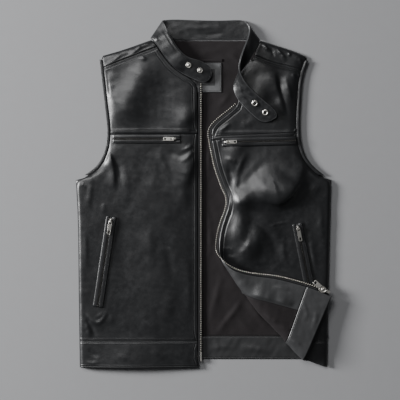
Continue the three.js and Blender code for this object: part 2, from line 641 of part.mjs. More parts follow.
function buildLeftFront() {
  add('left_front_hem_band', wall(leftLeather(-Infinity, HEM_SEAM_Y), 0, LEATHER), leather);
  add('left_front_lower', wall(leftLeather(HEM_SEAM_Y, Infinity), 0, LEATHER), leather);

  // The inside shows on the turned-back part: hem facing, zip facing, and lining between them and the fold
  const high = -3 * GAP;
  const inside = (name, from, to, first, last, material) => add(
    name, wall(leftPart(from, to, first, last), high - LINING, high), material);
  inside('left_front_hem_facing', -Infinity, HEM_SEAM_Y, PLACES.leather, PLACES.insideEnd, innerLeather);
  inside('left_front_facing', HEM_SEAM_Y, TURN_ROWS.head, PLACES.leather, PLACES.lining, innerLeather);
  inside('left_front_lining', HEM_SEAM_Y, TURN_ROWS.foot - 12, PLACES.lining, PLACES.insideEnd, twill);

  const neck = neckParts(LEFT_NECK_ROWS, LEFT_YOKE_SEAM, LEFT_SHOULDER);
  const cornerY = meetingY('left', LEFT_YOKE_SEAM);
  const bottomY = LEFT_CHEST_Y + GAP / 2;
  const chestRow = leftRowCurve(LEFT_CHEST_Y);
  const zipFoot = chestRow.getPointAt(LEATHER_EDGE / chestRow.getLength());
  const zipEdge = leftUpperZip().map((point) => flat(point.edge));
  const corner = { x: zipFoot.x, y: zipFoot.y + GAP };
  const upper = patch({
    bottom: new THREE.LineCurve3(flat(corner), flat({ x: leatherX('left', bottomY), y: bottomY })),
    top: tablePath(LEFT_YOKE_SEAM, neck.x, leatherX('left', cornerY), -GAP / 2),
    left: joinedPath(smooth([corner, ...zipEdge.slice(1), neck.lower[0]]), smooth(neck.lower)),
    right: armholePath('left', bottomY, cornerY - GAP / 2),
    across: mirrored(acrossFromSide(150, 10)),
    up: steps(14),
    level: (x, y, fromZip, fromSide) => frontLevel('left', x, y, fromSide, fromZip + LEATHER_EDGE),
  });
  add('left_front_upper', wall(upper, 0, LEATHER), leather);

  const tipY = meetingY('left', LEFT_SHOULDER);
  const yoke = patch({
    bottom: tablePath(LEFT_YOKE_SEAM, neck.x, leatherX('left', cornerY), GAP / 2),
    top: tablePath(LEFT_SHOULDER, neck.endX, leatherX('left', tipY)),
    left: smooth(neck.upper),
    right: armholePath('left', cornerY + GAP / 2, tipY),
    across: steps(12),
    up: YOKE_STOPS,
    level: (x, y, fromZip, fromSide) => frontLevel('left', x, y, fromSide, EDGE_SLOPE),
  });
  add('shoulder_yoke_left', wall(yoke, 0, LEATHER), leather);
}

// Points of the left zip above the chest seam: the chain's line and the leather edge beside it
function leftUpperZip() {
  const line = smooth(LEFT_ZIP_UPPER);
  return steps(10).map((part) => {
    const point = line.getPointAt(part);
    const tangent = line.getTangentAt(part);
    const outward = new THREE.Vector3(-tangent.y, tangent.x, 0);
    return { point, outward, edge: point.clone().addScaledVector(outward, -LEATHER_EDGE) };
  });
}

// Armhole bindings: a folded strip along the outline, from the underarm to the shoulder
function buildBinding(side) {
  const heights = [...ARMHOLE_STOPS.slice(1), ...spread(112, side === 'right' ? 268 : 266, 14)];
  const grid = heights.map((y) => {
    const outer = outlineX(side, y);
    const inner = leatherX(side, y, 0);
    const ends = side === 'right' ? [outer, inner] : [inner, outer];
    return steps(3).map((part) => {
      const x = mix(...ends, part);
      const dropped = quarter((shoulderY(side, x) - y) / SIDE_ROLL);
      return new THREE.Vector3(x, y, mix(SEAM_LEVEL, edgeLevel(y), dropped) + LEATHER / 2);
    });
  });
  add(`armhole_binding_${side}`, roundedWall(grid, -BINDING_WALL / 2, BINDING_WALL / 2), leather);
}

// Back: a flat panel under the fronts, and the lining and hem facing that show between them
function buildBack() {
  const inset = 0.5;
  const hidden = 4;
  const rightEdge = [
    ...spread(HEM_Y + 17, UNDERARM_Y, 10).map((y) => ({ x: outlineX('right', y) + inset, y })),
    ...spread(UNDERARM_Y + 4, 266, 14).map((y) => ({ x: leatherX('right', y, 0) - hidden, y })),
    { x: -203, y: 274 },
    { x: -158, y: 286.4 },
    { x: -112, y: 301 },
    { x: -105, y: BACK_NECK_Y - 2 },
  ];
  const leftEdge = [
    ...spread(HEM_Y + 17, UNDERARM_Y, 10).map((y) => ({ x: outlineX('left', y) - inset, y })),
    ...spread(UNDERARM_Y + 4, 262, 14).map((y) => ({ x: leatherX('left', y, 0) + hidden, y })),
    { x: 207, y: 271.6 },
    { x: 175, y: 285.4 },
    { x: 110, y: BACK_NECK_Y - 2 },
  ];
  const corners = [...leftEdge, ...rightEdge.reverse()];
  const outline = new THREE.Shape(corners.map(({ x, y }) => new THREE.Vector2(x, y)));
  add('back_panel', new THREE.ExtrudeGeometry(outline, { depth: LEATHER, bevelEnabled: false }), leather);

  const ground = LEATHER + GAP;
  const liningFoot = BACK_FACING_Y + GAP;
  const rightSide = [{ x: -42, y: liningFoot }, { x: -42, y: 60 }, { x: -60, y: 220 }, { x: -98, y: 306 }];
  const leftSide = [{ x: 178, y: liningFoot }, { x: 165, y: -80 }, { x: 112, y: 120 }, { x: 106, y: 306 }];
  const lining = patch({
    bottom: new THREE.LineCurve3(flat(rightSide[0]), flat(leftSide[0])),
    top: new THREE.LineCurve3(flat(rightSide.at(-1)), flat(leftSide.at(-1))),
    left: smooth(rightSide),
    right: smooth(leftSide),
    across: steps(9),
    up: steps(15),
    level: (x, y) => ground + swell(LINING_SWELLS, x, y),
  });
  add('back_lining', wall(lining, 0, LINING), twill);
  const facing = spread(BACK_HEM_Y, BACK_FACING_Y, 3)
    .map((y) => spread(-42, 200, 12).map((x) => new THREE.Vector3(x, y, ground)));
  add('back_hem_facing', wall(facing, 0, LINING), innerLeather);
}

// Neck label, left bare, and the hanger loop above it
function buildNeckPieces() {
  const top = LEATHER + LINING + 4 * GAP;
  const plate = (from, to) => spread(from.y, to.y, 3).map((y) => spread(from.x, to.x, 3)
    .map((x) => new THREE.Vector3(x, y, top + swell(LINING_SWELLS, x, y))));
  add('neck_label', wall(plate({ x: -30, y: 203 }, { x: 36, y: 262 }), 0, 1.2), innerLeather);
  add('hanger_loop', wall(plate({ x: -20, y: 264 }, { x: 39, y: 269.5 }), 0, 1.2), twill);
}

// The main zip's fixed pieces
const PIN_LENGTH = 18;
const BOX_LENGTH = 8;
const PIN_TOP_Y = -318;
const MAIN_SLIDER_ROW = -326;
const MIDDLE = LEATHER / 2;

function buildMainZip() {
  const rightLine = spread(HEM_Y + 12, ZIP_TOP_Y, 30);
  const zipLevel = (y) => rightLevel(rightLeatherEdge, y, EDGE_SLOPE * 4);
  const rightStrip = (places, foot) => rightLine.filter((y) => y > foot)
    .map((y) => places.map((place) => new THREE.Vector3(ZIP_X - place, y, zipLevel(y))));
  const middleWall = (grid, height) => wall(grid, MIDDLE - height / 2, MIDDLE + height / 2);
  const tape = (name, grid) => add(name, middleWall(grid, TAPE), zipTape);
  const chain = (name, grid) => add(name, middleWall(grid, CHAIN_WALL), nickel);
  tape('main_zip_right_tape', rightStrip([...TAPE_STOPS].reverse(), HEM_Y));
  chain('main_zip_right_chain', rightStrip([...CHAIN_STOPS].reverse(), PIN_TOP_Y));
  const pin = add('main_zip_pin', new THREE.BoxGeometry(2.6, PIN_LENGTH, 2.6), nickel);
  pin.position.set(ZIP_X, PIN_TOP_Y - GAP - PIN_LENGTH / 2, zipLevel(PIN_TOP_Y) + MIDDLE);

  const upper = (places) => leftUpperZip().slice(1).map(({ point, outward }) => places
    .map((place) => point.clone().addScaledVector(outward, -place).setZ(LAY - 2.4)));
  const foot = MAIN_SLIDER_ROW + MAIN_ZIP.slider / 2 + 2 * GAP;
  const left = (from, to, stops) => [
    leftRowAt(foot, from, to),
    ...leftPart(foot, Infinity, from, to),
    ...upper(stops),
  ];
  tape('main_zip_left_tape', left(PLACES.tape, PLACES.leather, TAPE_STOPS));
  chain('main_zip_left_chain', left(0, PLACES.tape, CHAIN_STOPS));
}

// A frame on a front: its place, and the directions along, across and out of the leather there
function frameOn(place, ahead, out) {
  const along = ahead.clone().addScaledVector(out, -ahead.dot(out)).normalize();
  return { place, along, out, across: out.clone().cross(along) };
}
function setOn(mesh, frame, lift, drop = 0, turn = 0) {
  const axes = new THREE.Matrix4().makeBasis(frame.along, frame.across, frame.out);
  mesh.quaternion.setFromRotationMatrix(axes);
  mesh.position.copy(frame.place).addScaledVector(frame.out, lift);
  mesh.rotateZ(THREE.MathUtils.degToRad(turn));
  mesh.rotateY(THREE.MathUtils.degToRad(drop));
}

function solidOf(geometry) {
  const bare = geometry.clone();
  bare.deleteAttribute('normal');
  bare.deleteAttribute('uv');
  const merged = mergeVertices(bare, 1e-4);
  return new wasm.Manifold(new wasm.Mesh({
    numProp: 3,
    vertProperties: new Float32Array(merged.attributes.position.array),
    triVerts: new Uint32Array(merged.index.array),
  }));
}
function union(first, second) {
  const mesh = solidOf(first).add(solidOf(second)).getMesh();
  const geometry = new THREE.BufferGeometry();
  geometry.setAttribute('position', new THREE.BufferAttribute(mesh.vertProperties, 3));
  geometry.setIndex(new THREE.BufferAttribute(mesh.triVerts, 1));
  return geometry;
}

// A zip slider: a waisted body with an arch on top for the pull. The arch's middle is at the origin's X, and
// Z is 0 at the body's top.
const ARCH = { half: 3.4, width: 2.2, wall: 1.1, inside: 2.6 };
function sliderGeometry({ slider, sliderWidth, sliderWall }) {
  const half = sliderWidth / 2;
  const waist = half * 0.72;
  const outline = new THREE.Shape([
    [-slider / 2, -waist], [-slider / 6, -waist], [slider / 6, -half], [slider / 2, -half],
    [slider / 2, half], [slider / 6, half], [-slider / 6, waist], [-slider / 2, waist],
  ].map(([x, y]) => new THREE.Vector2(x, y)));
  const body = new THREE.ExtrudeGeometry(outline, { depth: sliderWall, bevelEnabled: false });
  body.translate(0, 0, -sliderWall);
  const top = ARCH.inside + ARCH.wall;
  const foot = ARCH.half - ARCH.wall;
  const side = new THREE.Shape([
    [-ARCH.half, -0.5], [-foot, -0.5], [-foot, ARCH.inside - 0.4], [-foot + 0.5, ARCH.inside],
    [foot - 0.5, ARCH.inside], [foot, ARCH.inside - 0.4], [foot, -0.5], [ARCH.half, -0.5],
    [ARCH.half, top - 1], [ARCH.half - 1, top], [1 - ARCH.half, top], [-ARCH.half, top - 1],
  ].map(([x, z]) => new THREE.Vector2(x, z)));
  const arch = new THREE.ExtrudeGeometry(side, { depth: ARCH.width, bevelEnabled: false });
  arch.rotateX(Math.PI / 2);
  arch.translate(0, ARCH.width / 2, 0);
  return union(body, arch);
}

// A zip pull: a plate with an eye at the arch and a hole near its end. Its hinge line is the origin's Y.
const PULL_BAR = 0.65;
function pullGeometry({ length, width }) {
  const half = width / 2;
  const eye = half - 1.0;
  const bend = 1.2;
  const plate = new THREE.Shape();
  plate.moveTo(-PULL_BAR, -half + bend);
  plate.lineTo(-PULL_BAR, half - bend);
  plate.lineTo(-PULL_BAR + 0.6, half);
  plate.lineTo(length - bend, half);
  plate.lineTo(length, half - bend);
  plate.lineTo(length, -half + bend);
  plate.lineTo(length - bend, -half);
  plate.lineTo(-PULL_BAR + 0.6, -half);
  plate.closePath();
  const hole = (from, to, reach) => new THREE.Path([
    [from, -reach], [to, -reach], [to, reach], [from, reach]].map(([x, y]) => new THREE.Vector2(x, y)));
  plate.holes.push(hole(PULL_BAR, 6, eye), hole(length * 0.72, length - 1.6, width * 0.24));
  const geometry = new THREE.ExtrudeGeometry(plate, { depth: PULL_WALL, bevelEnabled: false });
  return geometry.translate(0, 0, -PULL_WALL / 2);
}

// A slider and its pull. lift is the height of the slider's top over the frame's place.
function addSlider(name, zip, frame, lift) {
  setOn(add(`${name}_slider`, sliderGeometry(zip), nickel), frame, lift);
  setOn(add(`${name}_pull`, pullGeometry(zip), nickel), frame, lift + PULL_LIFT, zip.droop, zip.turn);
}

function buildMainSlider() {
  const curve = leftRowCurve(MAIN_SLIDER_ROW);
  const place = leftPoint(MAIN_SLIDER_ROW, curve, 0);
  const next = (y, fromZip) => leftPoint(y, leftRowCurve(y), fromZip);
  const up = next(MAIN_SLIDER_ROW + 8, 0).sub(place);
  const out = next(MAIN_SLIDER_ROW, 6).sub(place).cross(up).normalize();
  out.multiplyScalar(Math.sign(out.z));
  const frame = frameOn(place.addScaledVector(out, -MIDDLE), up, out);
  addSlider('main_zip', MAIN_ZIP, frame, MAIN_ZIP.sliderWall / 2);
  const box = add('main_zip_box', new THREE.BoxGeometry(BOX_LENGTH, 6, 4), nickel);
  const behind = -(MAIN_ZIP.slider + BOX_LENGTH) / 2 - GAP;
  setOn(box, { ...frame, place: frame.place.clone().addScaledVector(frame.along, behind) }, 0);
}

// The zipped pockets: two welts with the tape and the chain in the slit between them
function frontSide(pocket) {
  return pocket.x0 < 0 ? 'right' : 'left';
}
function pocketPoint(pocket, along, across) {
  const ahead = new THREE.Vector3(pocket.x1 - pocket.x0, pocket.y1 - pocket.y0, 0).normalize();
  const beside = new THREE.Vector3(-ahead.y, ahead.x, 0);
  const point = flat({ x: pocket.x0, y: pocket.y0 });
  point.addScaledVector(ahead, along).addScaledVector(beside, across);
  const side = frontSide(pocket);
  const zipX = side === 'right' ? ZIP_X - point.x : point.x - read(LEFT_ROWS, 'y', point.y, 'edgeX');
  const fold = side === 'left' && point.y < LEFT_CHEST_Y ? leftRow(point.y, 'turned') : 0;
  const fromSide = Math.abs(point.x - leatherX(side, point.y));
  point.z = frontLevel(side, point.x, point.y, fromSide, mix(zipX, EDGE_SLOPE, fold));
  return point;
}
function pocketGrid(pocket, from, to, places) {
  const count = Math.max(Math.round((to - from) / 12), 2);
  return spread(from, to, count).map((along) => places.map((across) => pocketPoint(pocket, along, -across)));
}

function buildPocket(pocket) {
  const length = Math.hypot(pocket.x1 - pocket.x0, pocket.y1 - pocket.y0);
  const base = LEATHER + pocket.seat;
  const chainBase = base + TAPE + GAP;
  const name = `${pocket.name}_pocket`;
  const strip = (from, to, reach) => faced(pocketGrid(pocket, from, to, reach));
  for (const [label, sign] of [['upper', 1], ['lower', -1]]) {
    const places = [SLIT, (SLIT + pocket.reach) / 2, pocket.reach].map((place) => place * sign);
    const grid = strip(0, length, sign > 0 ? places : places.reverse());
    add(`${name}_welt_${label}`, roundedWall(grid, base, base + WELT_WALL), leather);
  }
  const slit = SLIT - GAP;
  add(`${name}_tape`, wall(strip(1, length - 1, [-slit, slit]), base, base + TAPE), zipTape);
  const chainStart = pocket.slider + POCKET_ZIP.slider / 2 + GAP;
  const half = POCKET_CHAIN / 2;
  const chain = strip(chainStart, length - 2, [-half, half]);
  add(`${name}_chain`, wall(chain, chainBase, chainBase + POCKET_CHAIN_WALL), nickel);
  const place = pocketPoint(pocket, pocket.slider, 0);
  const ahead = pocketPoint(pocket, pocket.slider + 5, 0).sub(place);
  const beside = pocketPoint(pocket, pocket.slider, -4).sub(place);
  const out = ahead.clone().cross(beside).normalize();
  out.multiplyScalar(Math.sign(out.z));
  const zip = { ...POCKET_ZIP, ...(name.includes('chest') ? CHEST_PULL : HAND_PULL) };
  addSlider(name, zip, frameOn(place, ahead, out), chainBase + POCKET_ZIP.sliderWall);
}

// Snaps on the collar: studs with a ball on its outer side, and sockets with a ring on the other tab
const SNAPS = [
  { name: 'snap_stud_1', row: 5.0, across: 0.6, stud: true },
  { name: 'snap_stud_2', row: 3.2, across: 0.54, stud: true },
  { name: 'snap_socket_1', row: 28.0, across: 0.56, stud: false },
  { name: 'snap_socket_2', row: 29.4, across: 0.56, stud: false },
];
const STUD_PROFILE = [[0, 0], [5.6, 0], [5.6, 0.8], [4.4, 1.3], [2.2, 1.3], [2.4, 3.0], [1.6, 3.8], [0, 4.0]];
const SOCKET_PROFILE = [[2.4, 0], [6.4, 0], [6.4, 1.2], [5.2, 2.2], [3.6, 2.2], [2.4, 1.2], [2.4, 0]];

function buildSnaps() {
  for (const { name, row, across, stud } of SNAPS) {
    const place = collarPoint(row, across);
    const ahead = collarPoint(row + 0.2, across).sub(place);
    const beside = collarPoint(row, across + 0.1).sub(place);
    const out = ahead.clone().cross(beside).normalize();
    out.multiplyScalar(Math.sign(out.z));
    const profile = (stud ? STUD_PROFILE : SOCKET_PROFILE).map(([x, y]) => new THREE.Vector2(x, y));
    const geometry = new THREE.LatheGeometry(profile, 12).rotateX(Math.PI / 2);
    setOn(add(name, geometry, nickel), frameOn(place, ahead, out), COLLAR_WALL / 2 + 3 * GAP);
  }
}

buildBack();
buildCollar();
buildRightFront();
buildLeftFront();
buildBinding('right');
buildBinding('left');
buildNeckPieces();
buildMainZip();
buildMainSlider();
POCKETS.forEach(buildPocket);
buildSnaps();

// The origin is under the middle of the vest's box, on the surface that it lies on
const box = new THREE.Box3().setFromObject(group, true);
const centre = box.getCenter(new THREE.Vector3());
group.position.set(-centre.x, -centre.y, -box.min.z);

export default group;
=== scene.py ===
"""A stand-collar leather vest laid flat with its left front turned back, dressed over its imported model."""

from __future__ import annotations

import logging
import math
from dataclasses import dataclass
from enum import Enum
from typing import Any, Callable, Iterable, Sequence

import bmesh
import bpy
import numpy as np
from mathutils import Matrix, Vector
from mathutils.bvhtree import BVHTree
from mathutils.kdtree import KDTree


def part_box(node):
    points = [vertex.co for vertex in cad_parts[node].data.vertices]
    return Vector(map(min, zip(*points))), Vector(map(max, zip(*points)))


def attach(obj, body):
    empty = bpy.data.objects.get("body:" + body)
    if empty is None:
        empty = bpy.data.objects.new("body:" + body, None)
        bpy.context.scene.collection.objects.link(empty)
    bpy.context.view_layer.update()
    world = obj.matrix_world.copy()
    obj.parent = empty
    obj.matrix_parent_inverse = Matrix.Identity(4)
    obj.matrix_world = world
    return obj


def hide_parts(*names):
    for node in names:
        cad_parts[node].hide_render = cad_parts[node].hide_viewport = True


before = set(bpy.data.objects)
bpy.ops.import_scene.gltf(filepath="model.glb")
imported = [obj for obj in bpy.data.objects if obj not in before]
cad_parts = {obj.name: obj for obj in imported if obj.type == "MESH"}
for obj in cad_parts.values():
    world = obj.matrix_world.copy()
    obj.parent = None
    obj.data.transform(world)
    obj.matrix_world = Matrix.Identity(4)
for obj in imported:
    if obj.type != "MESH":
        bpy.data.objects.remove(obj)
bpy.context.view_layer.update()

LOG = logging.getLogger("vest")

MM = 0.001
BODY = "vest"

# How far from an edge or a stitch line a point's distance still counts, in millimetres
SEAM_REACH = 20.0
# Points closer than this are one, in metres
DOUBLES = 0.01 * MM
# Face angles from which an edge is sharp, and turns from which an outline has a corner
SHARP = math.radians(60)
CORNER = math.radians(38)

Point = tuple[float, float]
Colour = tuple[float, float, float]
Materials = dict[str, bpy.types.Material]


class Slot(Enum):
    """The record's material slots."""

    LEATHER = "leather"
    INNER = "inner_leather"
    LINING = "lining"
    TAPE = "zip_tape"
    METAL = "metal"


class Held(Enum):
    """How a cloth piece is held."""

    LAID = "laid"
    FOLDED = "folded"


# Shader nodes


class Value:
    """A number socket, on which Python's arithmetic adds Math nodes."""

    def __init__(self, shader: Shader, socket: bpy.types.NodeSocket) -> None:
        """Wrap a socket of a shader."""
        self.shader = shader
        self.socket = socket

    def maths(self, operation: str, *others: Value | float, first: Value | float | None = None) -> Value:
        """Add a Math node on this value.

        Args:
            operation: The node's operation.
            others: The further inputs, as values or numbers.
            first: The first input where it isn't this value.

        Returns:
            The node's result.
        """
        inputs = (self if first is None else first, *others)
        sockets = {place: entry for place, entry in enumerate(inputs)}
        node = self.shader.node("ShaderNodeMath", {"operation": operation}, sockets)
        return Value(self.shader, node.outputs[0])

    def __add__(self, other: Value | float) -> Value:
        """Add a value or number."""
        return self.maths("ADD", other)

    __radd__ = __add__

    def __sub__(self, other: Value | float) -> Value:
        """Take away a value or number."""
        return self.maths("SUBTRACT", other)

    def __rsub__(self, other: float) -> Value:
        """Take this value from a number."""
        return self.maths("SUBTRACT", self, first=other)

    def __mul__(self, other: Value | float) -> Value:
        """Multiply by a value or number."""
        return self.maths("MULTIPLY", other)

    __rmul__ = __mul__

    def size(self) -> Value:
        """Give the value without its sign."""
        return self.maths("ABSOLUTE")

    def wave(self) -> Value:
        """Give the sine."""
        return self.maths("SINE")

    def span(self, low: float, high: float) -> Value:
        """Ease from 0 at low to 1 at high.

        Args:
            low: Where the result leaves 0.
            high: Where it reaches 1.

        Returns:
            The eased value.
        """
        node = self.shader.node(
            "ShaderNodeMapRange",
            {"interpolation_type": "SMOOTHSTEP"},
            {"Value": self, "From Min": low, "From Max": high, "To Min": 0.0, "To Max": 1.0},
        )
        return Value(self.shader, node.outputs[0])

    def groove(self, width: float) -> Value:
        """Give 1 where the value is 0, falling to 0 a width away on both sides."""
        return 1.0 - self.size().span(0.0, width)


class Shader:
    """A material under construction."""

    def __init__(self, name: str) -> None:
        """Start an empty material.

        Args:
            name: The material's name.
        """
        self.material = bpy.data.materials.new(name)
        self.material.use_nodes = True
        self.tree = self.material.node_tree
        self.tree.nodes.clear()

    def node(self, kind: str, settings: dict[str, Any], sockets: dict[Any, Any]) -> bpy.types.Node:
        """Add a node.

        Args:
            kind: The node's type.
            settings: Its properties, with ramp stops under "stops", which are set first.
            sockets: Numbers, colours, values or sockets by input name or place.

        Returns:
            The node.
        """
        made = self.tree.nodes.new(kind)
        for key, entry in settings.items():
            if key == "stops":
                ramp = made.color_ramp.elements
                while len(ramp) < len(entry):
                    ramp.new(0.5)
                for element, (place, colour) in zip(ramp, entry):
                    element.position = place
                    element.color = (*colour, 1.0)
            else:
                setattr(made, key, entry)
        for key, entry in sockets.items():
            target = made.inputs[key]
            if isinstance(entry, Value):
                self.tree.links.new(entry.socket, target)
            elif isinstance(entry, bpy.types.NodeSocket):
                self.tree.links.new(entry, target)
            else:
                target.default_value = entry
        return made

    def place(self) -> bpy.types.NodeSocket:
        """Give the place on the object in millimetres."""
        source = self.node("ShaderNodeTexCoord", {}, {})
        scaled = self.node(
            "ShaderNodeVectorMath", {"operation": "SCALE"}, {0: source.outputs["Object"], "Scale": 1.0 / MM}
        )
        return scaled.outputs[0]

    def axes(self, place: bpy.types.NodeSocket) -> tuple[Value, Value, Value]:
        """Split a place into its three numbers."""
        split = self.node("ShaderNodeSeparateXYZ", {}, {0: place})
        return tuple(Value(self, output) for output in split.outputs)

    def attribute(self, name: str) -> Value:
        """Read a number that the mesh carries at its points."""
        return Value(self, self.node("ShaderNodeAttribute", {"attribute_name": name}, {}).outputs["Fac"])

    def noise(self, place: bpy.types.NodeSocket, per_mm: float, detail: float = 3.0) -> Value:
        """Give soft noise.

        Args:
            place: Where it is read, in millimetres.
            per_mm: Its scale.
            detail: Its octaves.

        Returns:
            A value around 0.5.
        """
        node = self.node("ShaderNodeTexNoise", {}, {"Vector": place, "Scale": per_mm, "Detail": detail})
        return Value(self, node.outputs["Fac"])

    def cells(self, place: bpy.types.NodeSocket, per_mm: float) -> Value:
        """Give the distance from cell centres, for pebbled grain."""
        node = self.node(
            "ShaderNodeTexVoronoi",
            {"feature": "SMOOTH_F1"},
            {"Vector": place, "Scale": per_mm, "Smoothness": 0.6},
        )
        return Value(self, node.outputs["Distance"])

    def blend(self, part: Value, low: Colour, high: Colour) -> bpy.types.NodeSocket:
        """Blend two colours.

        Args:
            part: 0 for the first colour and 1 for the second.
            low: The first colour.
            high: The second colour.

        Returns:
            The colour socket.
        """
        colours = {0: part, 6: (*low, 1.0), 7: (*high, 1.0)}
        return self.node("ShaderNodeMix", {"data_type": "RGBA"}, colours).outputs[2]

    def surface(
        self,
        colour: bpy.types.NodeSocket,
        rough: Value,
        height: Value | None = None,
        more: dict[str, float] | None = None,
    ) -> bpy.types.Material:
        """Close the material with a surface.

        Args:
            colour: Its base colour.
            rough: Its roughness.
            height: Its relief in millimetres.
            more: Further inputs by name.

        Returns:
            The material.
        """
        sockets = {"Base Color": colour, "Roughness": rough, **(more or {})}
        if height is not None:
            bump = self.node("ShaderNodeBump", {}, {"Height": height, "Strength": 1.0, "Distance": MM})
            sockets["Normal"] = bump.outputs[0]
        shader = self.node("ShaderNodeBsdfPrincipled", {}, sockets)
        self.node("ShaderNodeOutputMaterial", {}, {"Surface": shader.outputs[0]})
        return self.material


# Finishes


@dataclass(frozen=True)
class Leather:
    """Smooth black cowhide with a fine pebble, grooved where it is stitched and paler at its edges from wear;
    on the collar the pale edges are also a painted highlight.

    Heights, widths and distances are in millimetres, and patterns are scaled per millimetre.
    """

    name: str = "black_cowhide"
    colour: Colour = (0.0058, 0.0061, 0.0068)
    # The edges' paler colour: wear, and on the collar also a painted highlight
    worn_and_highlight: Colour = (0.017, 0.0175, 0.019)
    roughness: float = 0.37
    pebble: float = 0.050
    wrinkle: float = 0.10
    groove: float = 0.42
    groove_width: float = 1.3
    ridge: float = 0.18
    ridge_at: float = 2.5
    ridge_width: float = 1.1
    pucker: float = 0.03
    pucker_width: float = 4.0
    rim: float = 0.12
    rim_from: float = 0.2
    rim_to: float = 1.6
    broad_scale: float = 0.016
    cloud_scale: float = 0.12
    fine_scale: float = 1.1
    pebble_scale: float = 0.62
    small_pebble_scale: float = 1.5
    wrinkle_scale: float = 0.33
    pucker_scale: float = 1.6

    def material(self) -> bpy.types.Material:
        """Build the material."""
        shader = Shader(self.name)
        place = shader.place()
        across, along, _ = shader.axes(place)
        seam = shader.attribute("seam")
        broad = shader.noise(place, self.broad_scale, 3.0)
        cloudy = shader.noise(place, self.cloud_scale, 4.0)
        fine = shader.noise(place, self.fine_scale, 2.0)
        stitched = seam.groove(self.groove_width)
        puckers = ((across + along) * self.pucker_scale).wave()
        height = (
            shader.cells(place, self.pebble_scale) * self.pebble
            + shader.cells(place, self.small_pebble_scale) * (self.pebble * 0.4)
            + shader.noise(place, self.wrinkle_scale, 5.0) * self.wrinkle
            + stitched * (-self.groove)
            + (seam.size() - self.ridge_at).groove(self.ridge_width) * self.ridge
            + seam.groove(self.pucker_width) * puckers * self.pucker
        )
        rim = 1.0 - shader.attribute("edge").span(self.rim_from, self.rim_to)
        # Paler edges: wear on every panel, and on the collar (rim 0.9) also a painted highlight of its rolled
        # edges
        wear = rim * self.rim + (cloudy * broad).span(0.22, 0.48) * 0.28
        rough = self.roughness + (cloudy - 0.5) * 0.16 + (fine - 0.5) * 0.10 + stitched * 0.12
        return shader.surface(shader.blend(wear, self.colour, self.worn_and_highlight), rough, height)


@dataclass(frozen=True)
class BrushedLeather:
    """The matt, greyer leather of the facings, and of the neck label with its border."""

    name: str = "facing_leather"
    colour: Colour = (0.012, 0.0122, 0.013)
    pale: Colour = (0.030, 0.0305, 0.032)
    roughness: float = 0.46
    border: float = 0.0
    nap_scale: float = 1.6
    cloud_scale: float = 0.09
    pebble_scale: float = 0.9
    wrinkle_scale: float = 0.25

    def material(self) -> bpy.types.Material:
        """Build the material."""
        shader = Shader(self.name)
        place = shader.place()
        edge = shader.attribute("edge")
        nap = shader.noise(place, self.nap_scale, 3.0)
        cloudy = shader.noise(place, self.cloud_scale, 4.0)
        pebble = shader.cells(place, self.pebble_scale)
        wrinkles = shader.noise(place, self.wrinkle_scale, 4.0)
        height = pebble * 0.05 + nap * 0.07 + wrinkles * 0.12
        height = height + shader.attribute("seam").groove(1.2) * -0.35
        wear = (1.0 - edge.span(0.2, 1.4)) * 0.2 + (cloudy - 0.45) * 0.8
        if self.border:
            wear = wear * 0.4 + (1.0 - edge.span(self.border - 0.6, self.border + 0.6)) * 0.9
        rough = self.roughness + (nap - 0.5) * 0.2
        return shader.surface(shader.blend(wear.span(0.0, 1.0), self.colour, self.pale), rough, height)


@dataclass(frozen=True)
class Twill:
    """A dark woven lining with fine diagonal ribs."""

    name: str = "lining_twill"
    colour: Colour = (0.0050, 0.0036, 0.0041)
    thread: Colour = (0.0120, 0.0090, 0.0100)
    roughness: float = 0.78
    ribs: float = 5.2

    def material(self) -> bpy.types.Material:
        """Build the material."""
        shader = Shader(self.name)
        place = shader.place()
        across, along, _ = shader.axes(place)
        rib = ((across + along * 0.8) * self.ribs).wave()
        pick = ((across * 0.8 - along) * (self.ribs * 1.3)).wave()
        slub = shader.noise(place, 0.6, 3.0)
        height = rib * 0.03 + pick * 0.012 + slub * 0.06 + shader.attribute("seam").groove(1.2) * -0.4
        part = rib * 0.18 + slub * 0.5 + shader.noise(place, 0.03, 3.0) * 0.5 - 0.2
        colour = shader.blend(part.span(0.0, 1.0), self.colour, self.thread)
        sheen = {"Specular IOR Level": 0.25, "Sheen Weight": 0.03, "Sheen Roughness": 0.5}
        return shader.surface(colour, self.roughness + (slub - 0.5) * 0.15, height, sheen)


@dataclass(frozen=True)
class WovenTape:
    """The herringbone tape of the zips."""

    name: str = "zip_tape_weave"
    colour: Colour = (0.006, 0.006, 0.007)
    thread: Colour = (0.020, 0.020, 0.022)

    def material(self) -> bpy.types.Material:
        """Build the material."""
        shader = Shader(self.name)
        place = shader.place()
        across, along, _ = shader.axes(place)
        ribs = (along * 7.0 + (across * 3.0).wave() * 1.2).wave()
        fuzz = shader.noise(place, 2.0, 3.0)
        colour = shader.blend((ribs * 0.3 + fuzz).span(0.1, 1.1), self.colour, self.thread)
        return shader.surface(colour, 0.85 + (fuzz - 0.5) * 0.1, ribs * 0.04 + fuzz * 0.05)


@dataclass(frozen=True)
class Thread:
    """Waxed black sewing thread with its twist."""

    name: str = "sewing_thread"
    colour: Colour = (0.012, 0.012, 0.013)
    pale: Colour = (0.020, 0.020, 0.021)

    def material(self) -> bpy.types.Material:
        """Build the material."""
        shader = Shader(self.name)
        place = shader.place()
        across, along, _ = shader.axes(place)
        twist = ((across + along) * 9.0).wave()
        fuzz = shader.noise(place, 2.4, 2.0)
        colour = shader.blend((twist * 0.3 + fuzz).span(0.0, 1.0), self.colour, self.pale)
        return shader.surface(colour, 0.5 + (fuzz - 0.5) * 0.3, twist * 0.04)


